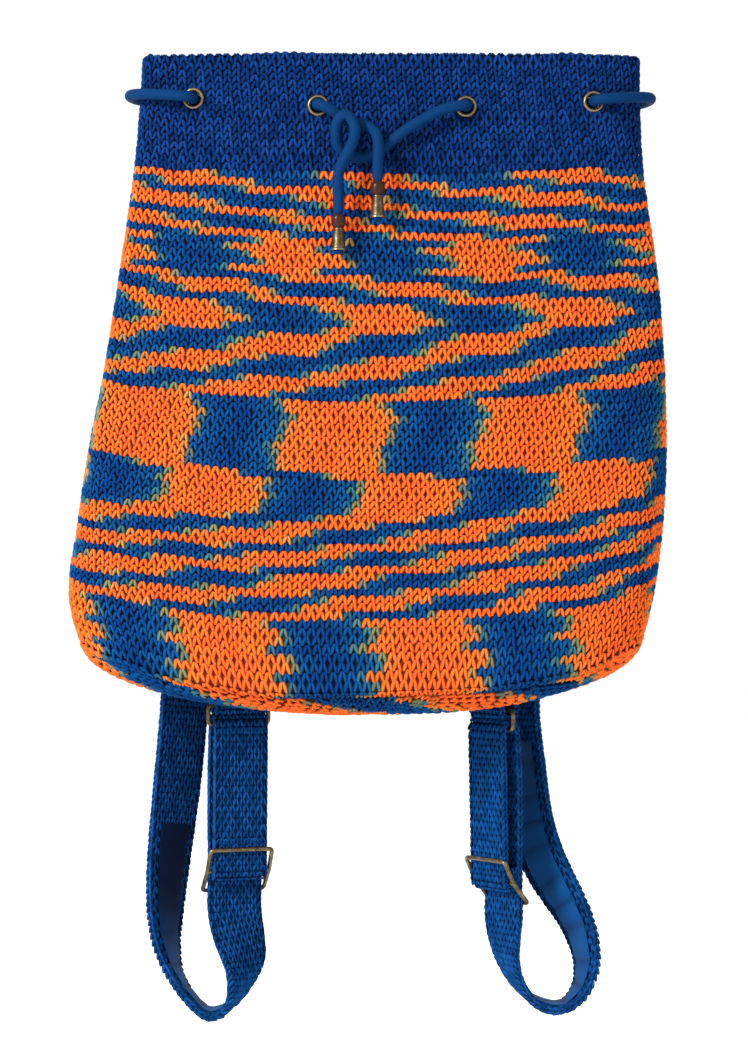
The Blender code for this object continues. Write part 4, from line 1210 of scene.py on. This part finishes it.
def frame_of(side):
    """The strap's hanging point, its width direction, and the direction towards the front."""
    x, y, turn, ring_z, slider_z = HARDWARE[side]
    across = np.array([math.cos(math.radians(turn)), math.sin(math.radians(turn)), 0.0])
    return np.array([x, y, 0.0]), across, np.array([across[1], -across[0], 0.0]), ring_z, slider_z


def bend(base, front, height, radius, start, end, count):
    """Points round a bar at this height; 0 degrees is in front and 90 on top."""
    turns = np.linspace(math.radians(start), math.radians(end), count)
    return [base + front * radius * math.cos(a) + UP * (height + radius * math.sin(a)) for a in turns]


def strap_way(side):
    """A strap's way from its seam at the back to the ring, with its headings."""
    base, across, front, ring_z, slider_z = frame_of(side)
    way, headings = [], []
    for x, y, z, heading in STRAP_WAY[side]:
        if y is None:
            lean = abs(math.sin(math.radians(heading))) * STRAP_WIDTH / 2
            hang = STRAP_HANG if way else 0.0
            y = front_surface(x, z)[0] + 0.0012 + STRAP_THICK / 2 + STRAP_SWELL + SEAM_GAP + lean + hang
        way.append(np.array([x, y, z]))
        headings.append(heading)
    heights = (-0.027, -0.010, 0.020, SLIDER_TRAVEL + 0.014)
    way += [base - front * behind + UP * (slider_z + d) for d in heights]
    way += bend(base, front, ring_z, loose, 180, 0, 9)
    way.append(base + front * loose + UP * (ring_z - RETURN_START + 3 * TOUCH))
    return way, headings + [HARDWARE[side][2]] * (len(way) - len(headings))


def band_frames(points, headings, row):
    """Places, directions along and directions across a band, one for each row."""
    knots = run_lengths(points)
    rows = max(2, round(knots[-1] / row))
    at = np.linspace(0, knots[-1], rows + 1)
    path = natural_spline(knots, points, at)
    along = unit(np.gradient(path, at, axis=0))
    turn = np.radians(natural_spline(knots, headings, at)[:, 0])
    across = np.stack([np.cos(turn), np.sin(turn), np.zeros_like(turn)], axis=1)
    across = unit(across - along * np.sum(across * along, axis=1, keepdims=True))
    return path, along, across


# %% Bands and the stitches on them
STRAP_ROW, FOLDED_ROW, BAND_SUNK, STRAP_STITCHES = 0.0043, 0.0036, 0.0009, 7
# The bands' insides get a low ridge mark, so they are painted dark: painted shade between the stitches.
BAND_INSIDE = {"ridge": 0.05, "shade": 0.2}


def band_mesh(name, frames, width, thick, look, marks, offset=0.0, crease=None):
    """A closed soft-edged band through the frames, with a map in metres and a mark for each row."""
    path, along, across = frames
    normal = np.cross(across, along)
    half, face = width / 2, thick / 2
    edge = min(face, half / 2)
    spots = [(half, 0.0), (half - edge * 0.4, face * 0.8), (half - edge * 1.4, face)]
    spots += [(s * (half - edge * 1.4), face) for s in (0.4, 0.0, -0.4)]
    spots += [(-a, b) for a, b in spots[2::-1]]
    spots += [(a, -b) for a, b in spots[-2:0:-1]]
    points = []
    for i in range(len(path)):
        for a, b in spots:
            lift = crease(i, a) if crease else 0.0
            points.append(path[i] + across[i] * a + normal[i] * (b + offset + lift))
    count = len(spots)
    flat = np.stack([np.repeat(run_lengths(path), count), np.tile([a for a, _ in spots], len(path))], axis=1)
    marks = {label: np.repeat(np.broadcast_to(value, len(path)), count) for label, value in marks.items()}
    return fix_normals(add_mesh(name, points, round_faces(len(path), count), look, marks, flat))


def band_stitches(frames, width, lined):
    """Stitches on both faces and both edges of a band; lined marks rows covered by cloth behind."""
    path, along, across = frames
    normal = np.cross(across, along)
    pitch, deep = width / (STRAP_STITCHES + 0.85), STRAP_THICK / 2 - BAND_SUNK
    rows = {label: [] for label in ("place", *STITCH_VECTORS)}

    def lay(*values):
        for label, value in zip(rows, values):
            rows[label].append(value)

    steps = np.linalg.norm(np.gradient(path, axis=0), axis=1)
    for i in range(len(path)):
        shift = 0.25 * pitch * (1 if i % 2 else -1)
        for k in range(STRAP_STITCHES):
            a = (k - (STRAP_STITCHES - 1) / 2) * pitch + shift
            size = (pitch, steps[i] * 0.97, 0.0017)
            lay(path[i] + across[i] * a + normal[i] * deep, normal[i], -along[i], size)
            if not (lined[i] and abs(a) < STRAP_LINING_WIDTH / 2 - 0.001):
                lay(path[i] + across[i] * a - normal[i] * deep, -normal[i], -along[i], size)
        for s in (-1, 1):
            place = path[i] + across[i] * s * (width / 2 - 0.0011)
            lay(place, across[i] * s, -along[i], (STRAP_THICK * 1.25, steps[i] * 1.05, 0.0012))
    made = {label: np.array(values) for label, values in rows.items()}
    count = len(made["place"])
    made["yarn_place"], made["shade"] = np.zeros(count), chance.uniform(0, 1, count)
    made["stitch_size"] *= chance.uniform(0.93, 1.08, (count, 1))
    return made


def crochet_band(name, frames, width, body, lined=None):
    """A band of crochet: its inside and its stitches, both on one body."""
    lined = np.zeros(len(frames[0]), bool) if lined is None else lined
    inside = band_mesh(
        f"{name}_inside", frames, width - 0.0014, STRAP_THICK - 0.0018, strap_yarn, BAND_INSIDE
    )
    stitches = knit(f"{name}_stitches", band_stitches(frames, width, lined), body_stitch, strap_yarn)
    return [dress(obj, body, "strap_yarn", name) for obj in (inside, stitches)]


def groove(i):
    """How deep a cross fold of the lining is at row i: about one fold every 20 mm."""
    return 1 - abs(np.sin(math.pi * i / 10 + 0.4 * np.sin(i * 0.21))) ** 0.5


def lining_crease(count):
    """How far a lining of so many rows stands out: its cross folds, and ends that go down."""
    def lift(i, a):
        sunk = 0.0022 * (1 - smooth_step(min(i, count - 1 - i) / 4))
        return sunk + 0.0016 * groove(i) * (0.8 + 0.2 * math.cos(a * 200 + i))
    return lift


for side in HARDWARE:
    base, across, front, ring_z, slider_z = frame_of(side)
    way, headings = strap_way(side)
    frames = band_frames(way, headings, STRAP_ROW)
    path, runs = frames[0], run_lengths(frames[0])
    lowest = int(np.argmin(path[:, 2]))
    first = int(np.argmax(path[:, 2] < LINING_STARTS[side]))
    last = lowest + int(np.argmax(path[lowest:, 2] > slider_z - LINING_STOPS_BELOW))
    lined = (np.arange(len(path)) >= first) & (np.arange(len(path)) < last)
    crochet_band(f"strap_{side}", frames, STRAP_WIDTH, "bag", lined & np.roll(lined, 2) & np.roll(lined, -2))
    fine = band_frames(way, headings, LINING_ROW)
    span = (run_lengths(fine[0]) >= runs[first]) & (run_lengths(fine[0]) <= runs[last - 1])
    fine, count = [f[span] for f in fine], int(span.sum())
    gap = STRAP_THICK / 2 + STRAP_SWELL + STRAP_LINING_GAP + STRAP_LINING_THICK / 2
    # Painted light and shade on the lining: dark in the loop's shadow above, paler lower down where light
    # falls, and darker in each cross fold's groove.
    pale_from, pale_over = LINING_LIGHT_RAMPS[side]
    down = smooth_step((pale_from - fine[0][:, 2]) / pale_over)
    shades = LINING_SHADES[side] + (LINING_PALE - LINING_SHADES[side]) * down
    cloth = band_mesh(
        f"strap_lining_cloth_{side}", fine, STRAP_LINING_WIDTH, STRAP_LINING_THICK, strap_cloth,
        {"shade": shades * (1 - 0.55 * groove(np.arange(count)))}, -gap, lining_crease(count),
    )
    dress(cloth, "bag", "lining_fabric", f"strap_lining_{side}")
    low, high, turn = slider_z + END_ABOVE_SLIDER, ring_z - RETURN_START, HARDWARE[side][2]
    returning = [base + front * loose + UP * high, base + front * snug + UP * (low + TOUCH)]
    frames = band_frames(returning, [turn, turn], STRAP_ROW)
    for obj in crochet_band(f"strap_return_{side}", frames, STRAP_WIDTH, "bag"):
        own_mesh(obj)
    end = [base + front * snug + UP * low, base + front * snug + UP * (slider_z + 0.008)]
    end += bend(base, front, slider_z, snug, 0, -180, 9)
    end.append(base - front * snug + UP * (slider_z + HEM_ABOVE_SLIDER))
    frames = band_frames(end, [turn] * len(end), FOLDED_ROW)
    crochet_band(f"strap_end_{side}", frames, STRAP_WIDTH, f"slider_{side}")

# %% [markdown]
# Under the bag's base a folded crochet tab holds each ring. It is sewn into the base, so its upper
# end disappears among the base's stitches: rows that would lie inside the bag are left out.

# %% Tabs that hold the rings
TAB_SLACK, TAB_TOP, TAB_INSIDE = 0.0020, 0.018, 0.0022
skin_faces = round_faces(len(outer_rounds), BACKING_COLUMNS)[:-2]
skin = BVHTree.FromPolygons([tuple(p) for p in np.concatenate(outer_rounds)], skin_faces)


def below_bag(point):
    """True where a point lies outside the bag's skin, or only a little inside it."""
    nearest = skin.find_nearest(Vector(point))[0]
    outwards = nearest - Vector((nearest.x, nearest.y * 0.3, -0.25))
    return (Vector(point) - nearest).dot(outwards.normalized()) > -TAB_INSIDE


for side in HARDWARE:
    base, across, front, ring_z, slider_z = frame_of(side)
    hinge_z = ring_z + RING_DROP
    loop = [base + front * snug + UP * (hinge_z + TAB_TOP)]
    loop += bend(base, front, hinge_z, snug + TAB_SLACK, 0, -180, 9)
    loop.append(base - front * snug + UP * (hinge_z + TAB_TOP))
    frames = band_frames(loop, [HARDWARE[side][2]] * len(loop), FOLDED_ROW)
    shown = np.array([below_bag(p) for p in frames[0]])
    crochet_band(f"ring_tab_{side}", [f[shown] for f in frames], TAB_WIDTH, "bag")

# %% [markdown]
# The ring is one bent wire, a rounded rectangle that hangs in its tab. The slider is a wire frame
# with a middle bar: the strap's end is folded round the bar, and the strap passes under the upper
# wire and over the lower one. Both are round wire, and the edges that cloth rubs are brighter.

# %% Wire rings and sliders
WIRE_SIDES, WIRE_SHOWN, WIRE_STEP, RING_BEND, SLIDER_BEND = 16, 0.00155, 0.0015, 0.0035, 0.0030


def wire_loop(corners, bow, steps=7):
    """Points round a closed wire whose corners are bent, not sharp."""
    points = []
    for i, corner in enumerate(corners):
        before = unit(corners[i - 1] - corner)
        after = unit(corners[(i + 1) % len(corners)] - corner)
        if before @ after < -0.85:
            points.append(corner)
            continue
        for share in np.linspace(0, 1, steps):
            points.append(corner + ((1 - share) ** 2 * before + share**2 * after) * bow)
    return points


def evenly(points, closed):
    """More points along the straight parts of a wire."""
    made, ends = [], points[1:] + points[:1] if closed else points[1:]
    for a, b in zip(points, ends):
        parts = max(1, int(np.linalg.norm(b - a) / WIRE_STEP))
        made += [a + (b - a) * k / parts for k in range(parts)]
    return made if closed else made + [points[-1]]


def wire_mesh(name, body, lines):
    """One brass piece of round wire from several lines, each (points, closed), on its body."""
    points, faces, marks = np.zeros((0, 3)), [], []
    for line, closed in lines:
        line = evenly(line, closed)
        shell, found, flat = tube_parts(line, [WIRE_SHOWN] * len(line), WIRE_SIDES, closed)
        faces += [tuple(i + len(points) for i in face) for face in found]
        points = np.concatenate([points, shell])
        marks += list(0.25 + 0.35 * np.sin(flat[:, 0] * 310) ** 2 * (flat[:, 1] < 0.6))
    obj = fix_normals(add_mesh(name, points, faces, antique_brass, {"worn": marks}))
    return dress(obj, body, "antique_brass", body)


for side in HARDWARE:
    base, across, front, ring_z, slider_z = frame_of(side)
    half, hinge = RING_INSIDE / 2 + WIRE_RADIUS, base + UP * (ring_z + RING_DROP)
    corners = [hinge + across * half, hinge - across * half, hinge - across * half - UP * RING_DROP,
               hinge + across * half - UP * RING_DROP]
    wire_mesh(f"wire_ring_{side}", f"ring_{side}", [(wire_loop(corners, RING_BEND), True)])
    half, place = SLIDER_INSIDE / 2 + WIRE_RADIUS, base + UP * slider_z
    front_bar = front * (snug + STRAP_THICK / 2 + TOUCH + WIRE_RADIUS) + UP * SLIDER_UP
    back_bar = -front * (behind + STRAP_THICK / 2 + STRAP_SWELL + TOUCH + WIRE_RADIUS) - UP * SLIDER_DOWN
    corners = [front_bar + across * half, front_bar - across * half, -across * half,
               back_bar - across * half, back_bar + across * half, across * half]
    frame_wire = [place + p for p in wire_loop(corners, SLIDER_BEND)]
    middle = [place - across * half, place + across * half]
    wire_mesh(f"wire_slider_{side}", f"slider_{side}", [(frame_wire, True), (middle, False)])
    print("Wire hardware", side, "at", [round(float(v), 3) for v in place])

# %% [markdown]
# A plain pale floor lies under the hanging bag, with the soft light of a studio: one wide lamp from
# the left of the camera, as the photograph's shading shows, a weaker one from the right, and an
# even pale surround.

# %% Floor and light
FLOOR_HALF, FLOOR_Z, LAMPS_LOOK_AT = 6.0, -0.72, (0, 0, -0.30)
pale, _, pale_shader = new_material("pale_floor_paint", 0.9)
pale_shader.inputs["Base Color"].default_value = (0.98, 0.98, 0.98, 1.0)
corners = [(x * FLOOR_HALF, y * FLOOR_HALF, FLOOR_Z) for x, y in ((-1, -1), (1, -1), (1, 1), (-1, 1))]
floor = add_mesh("pale_floor", corners, [(0, 1, 2, 3)], pale)


def soft_lamp(name, place, size, power):
    """A square area lamp that looks at the bag's middle."""
    data = bpy.data.lights.new(name, "AREA")
    data.shape, data.size, data.energy = "SQUARE", size, power
    lamp = new_object(name, data)
    lamp.location = place
    lamp.rotation_euler = (Vector(LAMPS_LOOK_AT) - Vector(place)).to_track_quat("-Z", "Y").to_euler()


soft_lamp("window_light", (-1.5, -1.5, 0.7), 0.6, 84)
soft_lamp("fill_light", (1.7, -1.5, 0.1), 1.6, 8)
soft_lamp("back_light", (0.4, 1.9, 0.8), 1.6, 14)
world = bpy.data.worlds.new("pale_surround")
bpy.context.scene.world = world
world.use_nodes = True
surround = world.node_tree.nodes["Background"].inputs
surround["Color"].default_value, surround["Strength"].default_value = (1.0, 1.0, 1.0, 1.0), 1.03
bpy.context.scene.view_settings.view_transform = "Standard"
